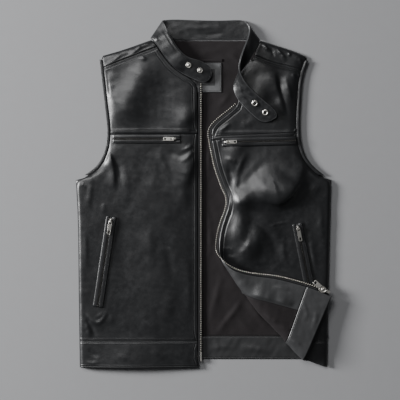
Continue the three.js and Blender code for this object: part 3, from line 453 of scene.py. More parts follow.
@dataclass(frozen=True)
class Metal:
    """Plated zinc, dulled and spotted in patches of noise."""

    name: str
    colour: Colour
    dull: Colour
    roughness: float = 0.30
    spots: float = 0.5

    def material(self) -> bpy.types.Material:
        """Build the material."""
        shader = Shader(self.name)
        place = shader.place()
        patina = shader.noise(place, 0.45, 4.0)
        scratches = shader.noise(place, 2.6, 2.0)
        part = (patina * 0.7 + scratches * 0.3).span(0.38, 0.68) * self.spots
        rough = self.roughness + part * 0.25 + (scratches - 0.5) * 0.12
        height = scratches * 0.03 + patina * 0.05
        return shader.surface(shader.blend(part, self.colour, self.dull), rough, height, {"Metallic": 1.0})


@dataclass(frozen=True)
class PaleFloor:
    """The plain pale floor that the vest is laid on."""

    name: str = "pale_floor"
    colour: Colour = (0.205, 0.206, 0.212)

    def material(self) -> bpy.types.Material:
        """Build the material."""
        shader = Shader(self.name)
        speckle = shader.noise(shader.place(), 0.05, 4.0)
        pale = tuple(channel * 1.05 for channel in self.colour)
        return shader.surface(shader.blend(speckle, self.colour, pale), 0.85 + (speckle - 0.5) * 0.05)


FINISHES = {
    "leather": Leather(),
    # The collar's edges are painted much paler: partly wear, partly a painted highlight of its rolled edges
    "collar": Leather("collar_cowhide", worn_and_highlight=(0.05, 0.051, 0.053), wrinkle=0.07, rim=0.9),
    "yoke": Leather("yoke_cowhide", ridge=0.6),
    "inner": BrushedLeather(),
    # The turned-back facings: the facing leather painted paler, a painted highlight for the light that the
    # turned corner catches
    "turned": BrushedLeather("painted_lit_turned_leather", (0.027, 0.0274, 0.0285), (0.060, 0.0605, 0.0625), 0.40),
    "label": BrushedLeather("label_leather", pale=(0.068, 0.069, 0.071), border=13.0),
    "twill": Twill(),
    "tape": WovenTape(),
    "thread": Thread(),
    "nickel": Metal("worn_nickel", (0.68, 0.66, 0.62), (0.12, 0.11, 0.095)),
    "teeth": Metal("zip_teeth_metal", (0.34, 0.325, 0.29), (0.11, 0.10, 0.08), roughness=0.36),
    # Pocket zip teeth: the teeth metal painted near black, a painted shade for the shadow in the narrow
    # pocket slit
    "shade_darkened": Metal("shade_darkened_teeth_metal", (0.045, 0.043, 0.040), (0.015, 0.014, 0.013), roughness=0.42),
    # A near-black metal that stands in as painted shade for the hole in each snap socket
    "shade_black": Metal("shade_black_metal", (0.030, 0.029, 0.028), (0.010, 0.010, 0.010), roughness=0.45),
    "floor": PaleFloor(),
}


# Lines, creases and undulations, in millimetres of the row frame


def smooth_path(points: Sequence[Point], steps: int) -> np.ndarray:
    """Draw a smooth curve through points.

    Args:
        points: The points, at least two.
        steps: The number of points between each two of them.

    Returns:
        The curve's points.
    """
    given = np.asarray(points, dtype=float)
    ends = np.vstack([2 * given[0] - given[1], given, 2 * given[-1] - given[-2]])
    part = np.linspace(0.0, 1.0, steps, endpoint=False)[:, None]
    curve = []
    for before, start, end, after in zip(ends, ends[1:], ends[2:], ends[3:]):
        bend = (2 * before - 5 * start + 4 * end - after) * part**2
        twist = (3 * start - before - 3 * end + after) * part**3
        curve.append(0.5 * (2 * start + (end - before) * part + bend + twist))
    return np.vstack([*curve, given[-1:]])


def ease(value: np.ndarray) -> np.ndarray:
    """Ease from 0 to 1."""
    kept = np.clip(value, 0.0, 1.0)
    return kept * kept * (3.0 - 2.0 * kept)


def beside(line: np.ndarray, places: np.ndarray) -> tuple[np.ndarray, np.ndarray, np.ndarray]:
    """Measure places against a line.

    Args:
        line: The line's points.
        places: The places to measure.

    Returns:
        The distance of each place, its side (1 on the left of the line), and its part along the line.
    """
    run = np.diff(line, axis=0)
    length = np.maximum(np.linalg.norm(run, axis=1), 1e-9)
    offset = places[:, None, :] - line[None, :-1, :]
    along = np.clip((offset * run).sum(-1) / length**2, 0.0, 1.0)
    gap = offset - along[..., None] * run
    distance = np.linalg.norm(gap, axis=-1)
    nearest = distance.argmin(axis=1)
    rows = np.arange(len(places))
    chosen = gap[rows, nearest]
    turn = run[nearest, 0] * chosen[:, 1] - run[nearest, 1] * chosen[:, 0]
    done = np.concatenate([[0.0], np.cumsum(length)])
    part = (done[nearest] + along[rows, nearest] * length[nearest]) / done[-1]
    return distance[rows, nearest], np.sign(turn), part


@dataclass(frozen=True)
class Crease:
    """A soft ridge, or a trough where rise is negative, along a smooth path.

    left and right are its half-widths on the two sides of the path, and blunt is the share of its length
    over which it fades at each end.
    """

    path: tuple[Point, ...]
    rise: float
    left: float
    right: float
    blunt: float = 0.42

    def height(self, places: np.ndarray) -> np.ndarray:
        """Give the height that the crease adds at places.

        Args:
            places: Places in plan.

        Returns:
            Their heights.
        """
        result = np.zeros(len(places))
        reach = 3.0 * max(self.left, self.right)
        line = smooth_path(self.path, 8)
        near = np.all((places > line.min(axis=0) - reach) & (places < line.max(axis=0) + reach), axis=1)
        if not near.any():
            return result
        distance, side, part = beside(line, places[near])
        width = np.where(side > 0, self.left, self.right)
        fade = ease(np.minimum(part, 1.0 - part) / self.blunt)
        phase = line[0, 0] * 0.13
        uneven = 1.0 + 0.14 * np.sin(part * 9.0 + phase) + 0.08 * np.sin(part * 23.0 + phase * 2.0)
        result[near] = self.rise * fade * uneven * np.exp(-((distance / width) ** 2))
        return result


@dataclass(frozen=True)
class Undulation:
    """Seeded shallow waves, so that no part of a skin is quite flat."""

    seed: int
    rise: float = 0.22
    longest: float = 90.0
    shortest: float = 14.0
    waves: int = 14

    def height(self, places: np.ndarray) -> np.ndarray:
        """Give the height that the waves add at places."""
        source = np.random.default_rng(self.seed)
        result = np.zeros(len(places))
        for length in np.geomspace(self.longest, self.shortest, self.waves):
            angle = source.uniform(0.0, math.pi)
            phase = source.uniform(0.0, 2.0 * math.pi)
            across = places[:, 0] * math.cos(angle) + places[:, 1] * math.sin(angle)
            swing = np.sin(places[:, 0] * 0.021 + places[:, 1] * 0.017 + phase) * 1.6
            share = (length / self.longest) ** 0.8
            result += share * np.sin(2.0 * math.pi * across / length + phase + swing)
        return result * self.rise / 2.0


def folds(plan: np.ndarray, creases: Iterable[Crease], waves: Undulation | None = None) -> np.ndarray:
    """Add up the heights of creases and waves at places in plan."""
    result = np.zeros(len(plan))
    for form in (*creases, *([waves] if waves else [])):
        result += form.height(plan)
    return result


# Creases, placed from the photograph: path, rise, width on the left of the path, width on its right

RIGHT_FRONT_CREASES = (
    Crease(((-113, 278), (-121, 243), (-135, 212), (-152, 168), (-158, 132)), 5.4, 30, 24, 0.3),
    Crease(((-190, 262), (-193, 218), (-188, 190)), -1.4, 8, 8, 0.3),
    Crease(((-20, 186), (-24, 160), (-44, 138), (-62, 126)), 2.8, 12, 18),
    Crease(((-190, 236), (-178, 216), (-183, 190)), -1.0, 7, 7),
    Crease(((-116, 276), (-124, 262)), 1.2, 5, 8),
    Crease(((-197, 123), (-150, 125), (-90, 125), (-24, 125)), 1.0, 2.8, 3.4, 0.03),
    Crease(((-20, 104), (-24, 95), (-34, 88), (-47, 84)), 1.7, 3, 4),
    Crease(((-19, 94), (-27, 76), (-47, 60)), 1.6, 4, 7),
    Crease(((-19, 90), (-22, 62), (-31, 30), (-33, 2)), 2.6, 6, 15),
    Crease(((-24, 92), (-46, 75), (-84, 96)), -1.3, 7, 8),
    Crease(((-92, 92), (-86, 70), (-72, 42), (-68, 20)), 1.4, 7, 9),
    Crease(((-193, 92), (-185, 68), (-180, 40), (-178, 2)), 3.0, 4.5, 10, 0.3),
    Crease(((-182, 80), (-170, 54), (-163, 20)), -1.6, 6, 5),
    Crease(((-224, 38), (-226, 4), (-231, -36)), 1.4, 5, 7),
    Crease(((-246, 22), (-232, 10)), 1.0, 3, 4),
    Crease(((-158, 62), (-155, 14), (-160, -30)), 1.0, 8, 8),
    Crease(((-119, 96), (-121, 38), (-115, -13)), -1.3, 16, 16),
    Crease(((-37, 38), (-41, 4), (-35, -40)), 1.4, 9, 12),
    Crease(((-201, -18), (-197, -40)), 1.1, 4, 5),
    Crease(((-167, -13), (-163, -113), (-155, -213)), -1.5, 18, 16),
    Crease(((-115, -57), (-107, -109), (-101, -157)), 1.8, 12, 16),
    Crease(((-77, -89), (-67, -137), (-57, -181)), -1.2, 8, 8),
    Crease(((-82, -85), (-75, -104), (-61, -108)), -0.7, 3, 3),
    Crease(((-60, -190), (-72, -236), (-66, -272)), 1.2, 10, 12),
    Crease(((-35, -113), (-29, -193), (-31, -263)), 1.2, 7, 9),
    Crease(((-130, -236), (-112, -262), (-84, -280)), 1.1, 8, 8),
    Crease(((-239, -70), (-235, -114), (-237, -158)), 1.1, 5, 6),
    Crease(((-236, -238), (-224, -253), (-211, -259), (-199, -247), (-193, -231)), 1.9, 3, 4),
    Crease(((-218, -250), (-208, -245), (-199, -235)), 1.0, 2.4, 2.6),
    Crease(((-242, -238), (-226, -262), (-213, -291)), -1.6, 4, 4),
    Crease(((-238, -258), (-230, -274), (-224, -290)), 1.5, 4, 5),
    Crease(((-191, -245), (-179, -257)), 0.8, 5, 6),
    Crease(((-231, -309), (-221, -320), (-207, -328)), -1.1, 4, 4),
    Crease(((-238, -337), (-222, -339), (-207, -337)), 0.9, 3, 4),
    Crease(((-176, -312), (-166, -326), (-148, -336)), 0.7, 6, 6),
    Crease(((-107, -312), (-89, -324), (-76, -336)), 0.7, 7, 6),
)

RIGHT_YOKE_CREASES = (
    Crease(((-199, 256), (-178, 266), (-160, 284)), 1.1, 3, 4),
    Crease(((-152, 272), (-136, 284), (-118, 300)), 1.7, 6, 4),
    Crease(((-139, 289), (-122, 296), (-104, 303)), 1.3, 6, 5),
    Crease(((-199, 251), (-150, 273), (-94, 295)), 0.8, 2.6, 2.6, 0.05),
)

LEFT_FRONT_CREASES = (
    Crease(((139, 247), (146, 212), (157, 181), (166, 156)), 3.4, 6, 22, 0.3),
    Crease(((147, 243), (155, 203), (166, 164), (172, 150)), -2.2, 5, 5, 0.3),
    Crease(((162, 237), (170, 205), (176, 178)), 1.9, 5, 7),
    Crease(((176, 240), (186, 226)), 0.8, 3, 3),
    Crease(((27, 121), (40, 130), (56, 140)), 1.7, 3, 5),
    Crease(((67, 131), (85, 138), (105, 142)), 0.9, 8, 8),
    Crease(((30, 121), (90, 122), (190, 123)), 0.9, 2.8, 3.4, 0.03),
    Crease(((90, 86), (78, 66), (70, 46), (66, 24), (61, -8)), 1.5, 5, 6, 0.3),
    Crease(((40, 70), (55, 66), (70, 58)), 1.5, 4, 4),
    Crease(((46, 60), (53, 38), (57, 8)), -1.8, 5, 5),
    Crease(((64, -8), (63, -36), (55, -66), (50, -90)), -0.8, 8, 14, 0.3),
    Crease(((58, -18), (84, -15), (111, -12), (148, -15), (172, -2)), 2.6, 30, 7, 0.3),
    Crease(((128, -46), (170, 2), (212, 50)), 7.5, 58, 14, 0.4),
    Crease(((136, -17), (168, -5), (186, 17), (196, 48), (197, 82)), 3.4, 20, 6, 0.3),
    Crease(((209, 45), (221, 36), (236, 28)), 1.1, 3, 5),
    Crease(((212, 16), (222, 10), (234, 4)), 1.2, 8, 8),
    Crease(((70, -2), (105, 43), (141, 66)), -1.4, 10, 10),
    Crease(((94, -92), (84, -110), (70, -128)), 1.6, 6, 9),
    Crease(((38, -108), (51, -111), (62, -117)), 1.5, 2.4, 3.4),
    Crease(((42, -118), (52, -122), (64, -124)), -0.9, 2.4, 2.6),
    Crease(((76, -36), (111, -62), (138, -95), (148, -133)), -2.0, 7, 8, 0.3),
    Crease(((117, -48), (140, -70), (158, -104)), 1.0, 7, 7),
    Crease(((127, -68), (146, -62), (177, -56)), 0.8, 2.4, 2.6),
    Crease(((88, -134), (108, -140), (130, -138)), 0.9, 5, 4),
    Crease(((213, -74), (219, -124), (229, -164)), 1.2, 6, 6),
    Crease(((237, -24), (235, -64), (239, -114)), 1.1, 5, 7),
    Crease(((161, -78), (159, -114), (169, -150)), 1.0, 5, 6),
)

LEFT_YOKE_CREASES = (
    Crease(((118, 300), (124, 292), (132, 282)), 1.8, 3, 3),
    Crease(((134, 293), (138, 282), (142, 271)), -1.1, 3, 3),
    Crease(((145, 290), (156, 278), (166, 263)), 1.6, 3, 4),
    Crease(((170, 284), (174, 272)), 1.1, 2.6, 3),
    Crease(((190, 272), (198, 256)), 1.0, 3, 3),
    Crease(((96, 281), (131, 264), (171, 254), (198, 246)), 0.7, 2.4, 2.4, 0.05),
)

TURNED_CREASES = (
    Crease(((90, -196), (118, -206), (150, -214), (182, -226)), 4.6, 16, 7, 0.3),
    Crease(((133, -184), (157, -188), (179, -194)), 0.9, 3, 4),
    Crease(((167, -288), (183, -296), (199, -306)), 1.1, 3, 3),
    Crease(((196, -214), (205, -238), (197, -260)), 0.9, 4, 5),
    Crease(((219, -222), (223, -246), (213, -274)), 0.8, 5, 4),
    Crease(((117, -238), (133, -250), (155, -258)), 1.2, 5, 4),
    Crease(((150, -262), (166, -270), (182, -270)), 0.9, 4, 4),
)

LINING_CREASES = (
    Crease(((83, -204), (65, -232), (41, -262), (23, -290)), 1.7, 7, 5),
    Crease(((83, -208), (109, -244), (139, -280)), 1.7, 5, 8),
    Crease(((39, -150), (24, -213), (9, -265)), 1.5, 8, 6),
    Crease(((64, -246), (84, -266), (106, -284)), 1.0, 5, 6),
    Crease(((4, 160), (10, 86), (7, 6)), 1.0, 7, 5),
    Crease(((6, -14), (13, -84), (8, -150)), 1.1, 6, 7),
    Crease(((22, -90), (37, -138), (51, -180)), 1.2, 5, 6),
    Crease(((-35, 292), (3, 284), (57, 294)), 1.1, 6, 9),
    Crease(((40, 280), (64, 270), (79, 250)), 1.2, 6, 5),
    Crease(((57, 208), (45, 190), (25, 170)), 1.0, 5, 5),
)

HEM_FACING_CREASES = (
    Crease(((5, -314), (37, -308), (73, -312)), 0.7, 5, 5),
    Crease(((71, -306), (100, -311), (137, -320)), 1.7, 6, 7),
    Crease(((17, -294), (29, -306), (25, -322)), 0.5, 4, 4),
)

COLLAR_CREASES = (
    Crease(((-106, 322), (-92, 292), (-68, 262), (-40, 239)), 4.0, 24, 3, 0.2),
    Crease(((-87, 329), (-67, 296), (-50, 274)), 1.1, 2.4, 2.8),
    Crease(((-92, 312), (-76, 288), (-58, 268)), -0.8, 2.4, 2.4),
    Crease(((-95, 314), (-89, 302)), 1.1, 2.6, 2.6),
    Crease(((-72, 322), (-58, 296), (-38, 275)), 0.8, 2.2, 2.6),
    Crease(((-51, 334), (-7, 331), (45, 335)), 0.8, 5, 5),
    Crease(((-27, 321), (13, 318), (57, 323)), -0.6, 4, 4),
    Crease(((66, 226), (77, 198), (92, 180)), 1.1, 3.0, 2.6),
    Crease(((73, 214), (93, 190), (117, 170)), -0.7, 2.4, 2.4),
)

BACK_CREASES = (
    Crease(((-190, 90), (-150, 30), (-140, -60)), 0.5, 10, 8),
    Crease(((190, 96), (156, 24), (150, -70)), 0.5, 8, 10),
    Crease(((-120, 230), (-40, 205), (60, 214), (130, 236)), 0.5, 12, 9),
    Crease(((-90, -40), (-70, -140), (-84, -230)), 0.5, 9, 11),
    Crease(((70, -60), (86, -150), (76, -250)), 0.5, 11, 9),
    Crease(((-220, -180), (-200, -240), (-206, -300)), 0.4, 7, 7),
    Crease(((222, -170), (206, -230), (214, -296)), 0.4, 7, 7),
    Crease(((-20, 120), (6, 20), (-8, -100)), 0.4, 12, 12),
)


# Mesh work shared by every piece

# How strongly a closed wall's sharp edges stay sharp, and the step between samples on an edge in millimetres
EDGE_CREASE = 0.6
EDGE_STEP = 0.6
# How far refined skins are smoothed, and the most that a side's normal may lean towards the face above it
SMOOTHING = 0.4
UPRIGHT = 0.1
# How high over the floor rays start that look down, in metres
RAY_START = 1.0

# A side's points, each with the skin's normal there and the direction into the skin
Side = list[tuple[Vector, Vector, Vector]]


def merged_copy(node: str) -> bmesh.types.BMesh:
    """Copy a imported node's mesh with its doubles merged and its quads back together.

    Args:
        node: The node's name.

    Returns:
        The copy.
    """
    mesh = bmesh.new()
    mesh.from_mesh(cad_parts[node].data)
    bmesh.ops.remove_doubles(mesh, verts=mesh.verts, dist=DOUBLES)
    any_angle = {"angle_face_threshold": math.pi, "angle_shape_threshold": math.pi}
    bmesh.ops.join_triangles(mesh, faces=mesh.faces, **any_angle)
    mesh.faces.ensure_lookup_table()
    return mesh


def is_sharp(edge: bmesh.types.BMEdge) -> bool:
    """Tell whether an edge lies between two faces at a sharp angle."""
    return len(edge.link_faces) == 2 and edge.calc_face_angle(0.0) > SHARP


def smooth_regions(mesh: bmesh.types.BMesh) -> list[list[bmesh.types.BMFace]]:
    """Split a mesh's faces at its sharp edges.

    Args:
        mesh: The mesh.

    Returns:
        The regions, largest first.
    """
    seen: set[bmesh.types.BMFace] = set()
    regions = []
    for first in mesh.faces:
        if first in seen:
            continue
        seen.add(first)
        region = [first]
        for face in region:
            for edge in face.edges:
                if len(edge.link_faces) == 2 and not is_sharp(edge):
                    fresh = [other for other in edge.link_faces if other not in seen]
                    seen.update(fresh)
                    region.extend(fresh)
        regions.append(region)
    return sorted(regions, key=lambda region: -sum(face.calc_area() for face in region))


def outer_skin(node: str, probe: Point | None = None) -> bmesh.types.BMesh:
    """Take the outer side of a wall, without its inner side and its rim.

    Args:
        node: The node's name.
        probe: A place in millimetres where the outer side is on top, where its mean normal doesn't say.

    Returns:
        The skin as an open mesh.
    """
    mesh = merged_copy(node)
    sides = smooth_regions(mesh)[:2]
    if probe is None:
        kept = max(sides, key=lambda side: sum(face.normal.z * face.calc_area() for face in side))
    else:
        tree = BVHTree.FromBMesh(mesh)
        start = Vector((probe[0] * MM, probe[1] * MM, RAY_START))
        hit = tree.ray_cast(start, Vector((0.0, 0.0, -1.0)))[2]
        kept = next(side for side in sides if mesh.faces[hit] in side)
    bmesh.ops.delete(mesh, geom=list(set(mesh.faces) - set(kept)), context="FACES")
    return mesh


def boundary_sides(mesh: bmesh.types.BMesh) -> list[Side]:
    """Walk an open skin's boundary and split it at its corners.

    Args:
        mesh: The skin.

    Returns:
        Each side's points, each with the skin's normal and the direction into the skin.
    """
    loops = {}
    for edge in mesh.edges:
        if edge.is_boundary:
            loop = edge.link_loops[0]
            loops[loop.vert] = loop.link_loop_next.vert
    first = min(loops, key=lambda vert: vert.index)
    ring = [first]
    while loops[ring[-1]] is not first and len(ring) <= len(loops):
        ring.append(loops[ring[-1]])
    count = len(ring)
    turns = []
    for place, vert in enumerate(ring):
        before = vert.co - ring[place - 1].co
        after = ring[(place + 1) % count].co - vert.co
        turns.append(before.angle(after, 0.0) > CORNER)
    start = turns.index(True) if any(turns) else 0
    order = [(start + step) % count for step in range(count + 1)]
    sides: list[Side] = [[]]
    for step, place in enumerate(order):
        vert = ring[place]
        ahead = ring[(place + 1) % count].co - ring[place - 1].co
        inward = vert.normal.cross(ahead).normalized()
        point = (vert.co.copy(), vert.normal.copy(), inward)
        sides[-1].append(point)
        if turns[place] and 0 < step < count:
            sides.append([point])
    return [side for side in sides if len(side) > 1]


def subdivided(mesh: bmesh.types.BMesh, levels: int, creased: bool = False) -> bmesh.types.BMesh:
    """Smooth a coarse mesh as a subdivision surface.

    Args:
        mesh: The mesh, which is freed.
        levels: The number of subdivisions.
        creased: Whether its sharp edges stay sharp.

    Returns:
        The finer mesh.
    """
    corner = mesh.verts.layers.float.new("crease_vert")
    layer = mesh.edges.layers.float.new("crease_edge")
    for edge in mesh.edges:
        if creased and is_sharp(edge):
            edge[layer] = EDGE_CREASE
    for vert in mesh.verts:
        rim = [edge for edge in vert.link_edges if edge.is_boundary or edge[layer] > 0.0]
        if len(rim) > 2:
            vert[corner] = 1.0
        elif len(rim) == 2:
            first, second = (edge.other_vert(vert).co - vert.co for edge in rim)
            if first.angle(second, math.pi) < math.pi - CORNER:
                vert[corner] = 1.0
    data = bpy.data.meshes.new("coarse")
    mesh.to_mesh(data)
    mesh.free()
    holder = bpy.data.objects.new("coarse", data)
    bpy.context.scene.collection.objects.link(holder)
    modifier = holder.modifiers.new("smooth", "SUBSURF")
    modifier.levels = levels
    modifier.render_levels = levels
    modifier.boundary_smooth = "PRESERVE_CORNERS"
    evaluated = holder.evaluated_get(bpy.context.evaluated_depsgraph_get())
    fine = bmesh.new()
    fine.from_mesh(evaluated.to_mesh())
    evaluated.to_mesh_clear()
    bpy.data.objects.remove(holder)
    bpy.data.meshes.remove(data)
    for layers in (fine.edges.layers.float, fine.verts.layers.float):
        for layer in list(layers):
            layers.remove(layer)
    return fine


def refined(mesh: bmesh.types.BMesh, finest: float, rounds: int = 2) -> bmesh.types.BMesh:
    """Split edges until none is much longer than a size.

    Args:
        mesh: The mesh, which is changed.
        finest: The size in millimetres.
        rounds: How often the long edges are halved.

    Returns:
        The same mesh.
    """
    for _ in range(rounds):
        long_edges = [edge for edge in mesh.edges if edge.calc_length() > finest * MM]
        if not long_edges:
            break
        bmesh.ops.subdivide_edges(mesh, edges=long_edges, cuts=1, use_grid_fill=True)
        inner = [vert for vert in mesh.verts if not vert.is_boundary]
        every_axis = {"use_axis_x": True, "use_axis_y": True, "use_axis_z": True}
        bmesh.ops.smooth_vert(mesh, verts=inner, factor=SMOOTHING, **every_axis)
    return mesh


def linked(data: bpy.types.Mesh, material: bpy.types.Material) -> bpy.types.Object:
    """Make a smooth-shaded object of mesh data."""
    data.polygons.foreach_set("use_smooth", [True] * len(data.polygons))
    data.materials.append(material)
    made = bpy.data.objects.new(data.name, data)
    bpy.context.scene.collection.objects.link(made)
    return made


def finished(mesh: bmesh.types.BMesh, name: str, material: bpy.types.Material) -> bpy.types.Object:
    """Make a smooth-shaded object of a mesh.

    Args:
        mesh: The mesh, which is freed.
        name: The object's name.
        material: Its material.

    Returns:
        The object.
    """
    data = bpy.data.meshes.new(name)
    mesh.to_mesh(data)
    mesh.free()
    return linked(data, material)


def dressed(piece: bpy.types.Object, slot: Slot, *nodes: str, body: str = BODY) -> bpy.types.Object:
    """Attach a piece to its body and hide the nodes that it stands for.

    Args:
        piece: The piece.
        slot: Its material slot; not used.
        nodes: The nodes that it replaces.
        body: The body that it rides on.

    Returns:
        The piece.
    """
    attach(piece, body)
    if nodes:
        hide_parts(*nodes)
    LOG.info("%s: %d faces", piece.name, len(piece.data.polygons))
    return piece


def points_of(mesh: bmesh.types.BMesh) -> tuple[np.ndarray, np.ndarray]:
    """Give a mesh's points and normals, the points in millimetres."""
    mesh.normal_update()
    places = np.array([vert.co for vert in mesh.verts]) / MM
    return places, np.array([vert.normal for vert in mesh.verts])


def set_points(mesh: bmesh.types.BMesh, places: np.ndarray) -> None:
    """Move a mesh's points to places in millimetres."""
    for vert, place in zip(mesh.verts, places * MM):
        vert.co = place
    mesh.normal_update()


def gaps_to(samples: Sequence[Vector], places: Iterable[Vector]) -> np.ndarray:
    """Measure how far places are from the nearest of some sample points."""
    tree = KDTree(len(samples))
    for number, sample in enumerate(samples):
        tree.insert(sample, number)
    tree.balance()
    return np.array([tree.find(place)[2] for place in places])


def distance_to(samples: Sequence[Vector], mesh: bmesh.types.BMesh) -> np.ndarray:
    """Measure how far a mesh's points are from sample points, in millimetres, up to the seams' reach."""
    if not samples:
        return np.full(len(mesh.verts), SEAM_REACH)
    return np.minimum(gaps_to(samples, (vert.co for vert in mesh.verts)) / MM, SEAM_REACH)


def edge_samples(edges: Iterable[bmesh.types.BMEdge]) -> list[Vector]:
    """Give points a short step apart along edges."""
    samples = []
    for edge in edges:
        start, end = edge.verts[0].co, edge.verts[1].co
        count = max(1, round((end - start).length / (EDGE_STEP * MM)))
        samples.extend(start.lerp(end, step / count) for step in range(count))
    return samples


def set_attributes(mesh: bmesh.types.BMesh, **values: np.ndarray) -> None:
    """Store a number at each point, under each name."""
    for name, column in values.items():
        layer = mesh.verts.layers.float.new(name)
        for vert, value in zip(mesh.verts, column):
            vert[layer] = float(value)


def lengths_along(line: Sequence[Vector]) -> list[float]:
    """Give the length of a line up to each of its points."""
    lengths = [0.0]
    for start, end in zip(line, line[1:]):
        lengths.append(lengths[-1] + (end - start).length)
    return lengths


def read_at(places: np.ndarray, lengths: Sequence[float], values: Sequence[Vector]) -> list[Vector]:
    """Read vectors at places along a line, where they are known at some lengths."""
    columns = [np.interp(places, lengths, [value[axis] for value in values]) for axis in range(3)]
    return [Vector(value) for value in zip(*columns)]


def evenly(points: Sequence[Vector], step: float, trim: float = 0.0) -> list[Vector]:
    """Place points at an even distance along a line.

    Args:
        points: The line.
        step: The distance in metres.
        trim: The length left off at both ends.

    Returns:
        The points.
    """
    lengths = lengths_along(points)
    places = np.arange(trim, max(lengths[-1] - trim, trim) + step * 0.01, step)
    return read_at(places, lengths, points)


def scattered(
    shape: bmesh.types.BMesh, frames: Sequence[Matrix], name: str, material: bpy.types.Material
) -> bpy.types.Object:
    """Repeat a small shape at frames as one joined mesh.

    Args:
        shape: The shape around the origin, which is freed.
        frames: The copies' matrices.
        name: The object's name.
        material: Its material.

    Returns:
        The joined object.
    """
    shape.verts.ensure_lookup_table()
    corners = np.array([(*vert.co, 1.0) for vert in shape.verts])
    faces = [[vert.index for vert in face.verts] for face in shape.faces]
    shape.free()
    points = np.concatenate([(corners @ np.array(matrix).T)[:, :3] for matrix in frames])
    starts = range(0, len(points), len(corners))
    joined = [[start + corner for corner in face] for start in starts for face in faces]
    data = bpy.data.meshes.new(name)
    data.from_pydata(points.tolist(), [], joined)
    return linked(data, material)


def basis(ahead: Vector, out: Vector, place: Vector) -> Matrix:
    """Give a frame with X ahead, Z out and Y beside, at a place."""
    up = (out - ahead * out.dot(ahead) / ahead.length_squared).normalized()
    along = ahead.normalized()
    across = up.cross(along)
    turned = Matrix((along, across, up)).transposed().to_4x4()
    turned.translation = place
    return turned


def search_tree(piece: bpy.types.Object) -> BVHTree:
    """Make a search tree of a piece's surface."""
    data = piece.data
    return BVHTree.FromPolygons(
        [vert.co for vert in data.vertices], [list(face.vertices) for face in data.polygons]
    )


def thickened(piece: bpy.types.Object, thickness: float) -> None:
    """Give a skin its thickness in millimetres, inwards."""
    wall = piece.modifiers.new("wall", "SOLIDIFY")
    wall.thickness = thickness * MM
    wall.offset = -1.0
    wall.use_even_offset = False


def rounded(
    mesh: bmesh.types.BMesh, edges: Sequence[bmesh.types.BMEdge], width: float, segments: int
) -> None:
    """Round edges of a mesh over a width in millimetres."""
    shape = {"offset": width * MM, "segments": segments, "profile": 0.5, "clamp_overlap": True}
    bmesh.ops.bevel(mesh, geom=edges, affect="EDGES", material=-1, **shape)


def closed(mesh: bmesh.types.BMesh, rings: Sequence[Sequence[Vector]]) -> None:
    """Add a closed solid to a mesh from rings of points."""
    loops = [[mesh.verts.new(point) for point in ring] for ring in rings]
    for low, high in zip(loops, loops[1:]):
        for start, end, above, beyond in zip(low, low[1:] + low[:1], high, high[1:] + high[:1]):
            mesh.faces.new((start, end, beyond, above))
    mesh.faces.new(loops[0])
    mesh.faces.new(loops[-1])


def turns(count: int, whole: float = 2.0 * math.pi) -> list[float]:
    """Give the angles of steps around a whole turn, or around part of one."""
    return [whole * step / count for step in range(count)]


# Sewing


@dataclass(frozen=True)
class Seam:
    """A row of stitches along a side of a skin: the side nearest to a guide point, and the inset from it."""

    guide: tuple[float, float, float]
    inset: float
    trim: float = 3.0


@dataclass(frozen=True)
class Needle:
    """The stitch of the vest: its pitch, its length, its thickness and how far it sinks in."""

    pitch: float = 3.4
    length: float = 2.7
    thickness: float = 0.62
    sink: float = 0.06

    def shape(self) -> bmesh.types.BMesh:
        """Model one stitch: a slim thread that dips into the cloth at both ends."""
        mesh = bmesh.new()
        bmesh.ops.create_uvsphere(mesh, u_segments=6, v_segments=5, radius=0.5)
        turn = Matrix.Rotation(math.pi / 2, 4, "Y")
        size = Matrix.Diagonal((self.length * MM, self.thickness * MM, self.thickness * MM, 1.0))
        bmesh.ops.transform(mesh, matrix=size @ turn, verts=mesh.verts)
        return mesh

    def frames(self, line: Sequence[Vector], tree: BVHTree, trim: float) -> list[Matrix]:
        """Lay stitches along a line on a surface.

        Args:
            line: The line's points, near the surface.
            tree: The surface.
            trim: The length left off at both ends, in millimetres.

        Returns:
            A matrix for each stitch.
        """
        spots = evenly(line, self.pitch * MM, trim * MM)
        frames = []
        for start, end in zip(spots, spots[1:]):
            place, normal, _, _ = tree.find_nearest(start.lerp(end, 0.5))
            if place is None or (end - start).length < MM:
                continue
            frames.append(basis(end - start, normal, place - normal * (self.sink * MM)))
        return frames


NEEDLE = Needle()
Line = tuple[list[Vector], float]


def stitches(
    node: str, lines: Iterable[Line], tree: BVHTree, slot: Slot, thread: bpy.types.Material
) -> bpy.types.Object | None:
    """Sew a node's stitches as one piece.

    Args:
        node: The node that they are sewn on.
        lines: The stitch lines, each with its trim in millimetres.
        tree: The surface.
        slot: The stitches' slot.
        thread: Their material.

    Returns:
        The stitches, or None where there is no line.
    """
    frames = [matrix for line, trim in lines for matrix in NEEDLE.frames(line, tree, trim)]
    if not frames:
        return None
    return dressed(scattered(NEEDLE.shape(), frames, f"{node}_stitches", thread), slot)


# Cloth pieces


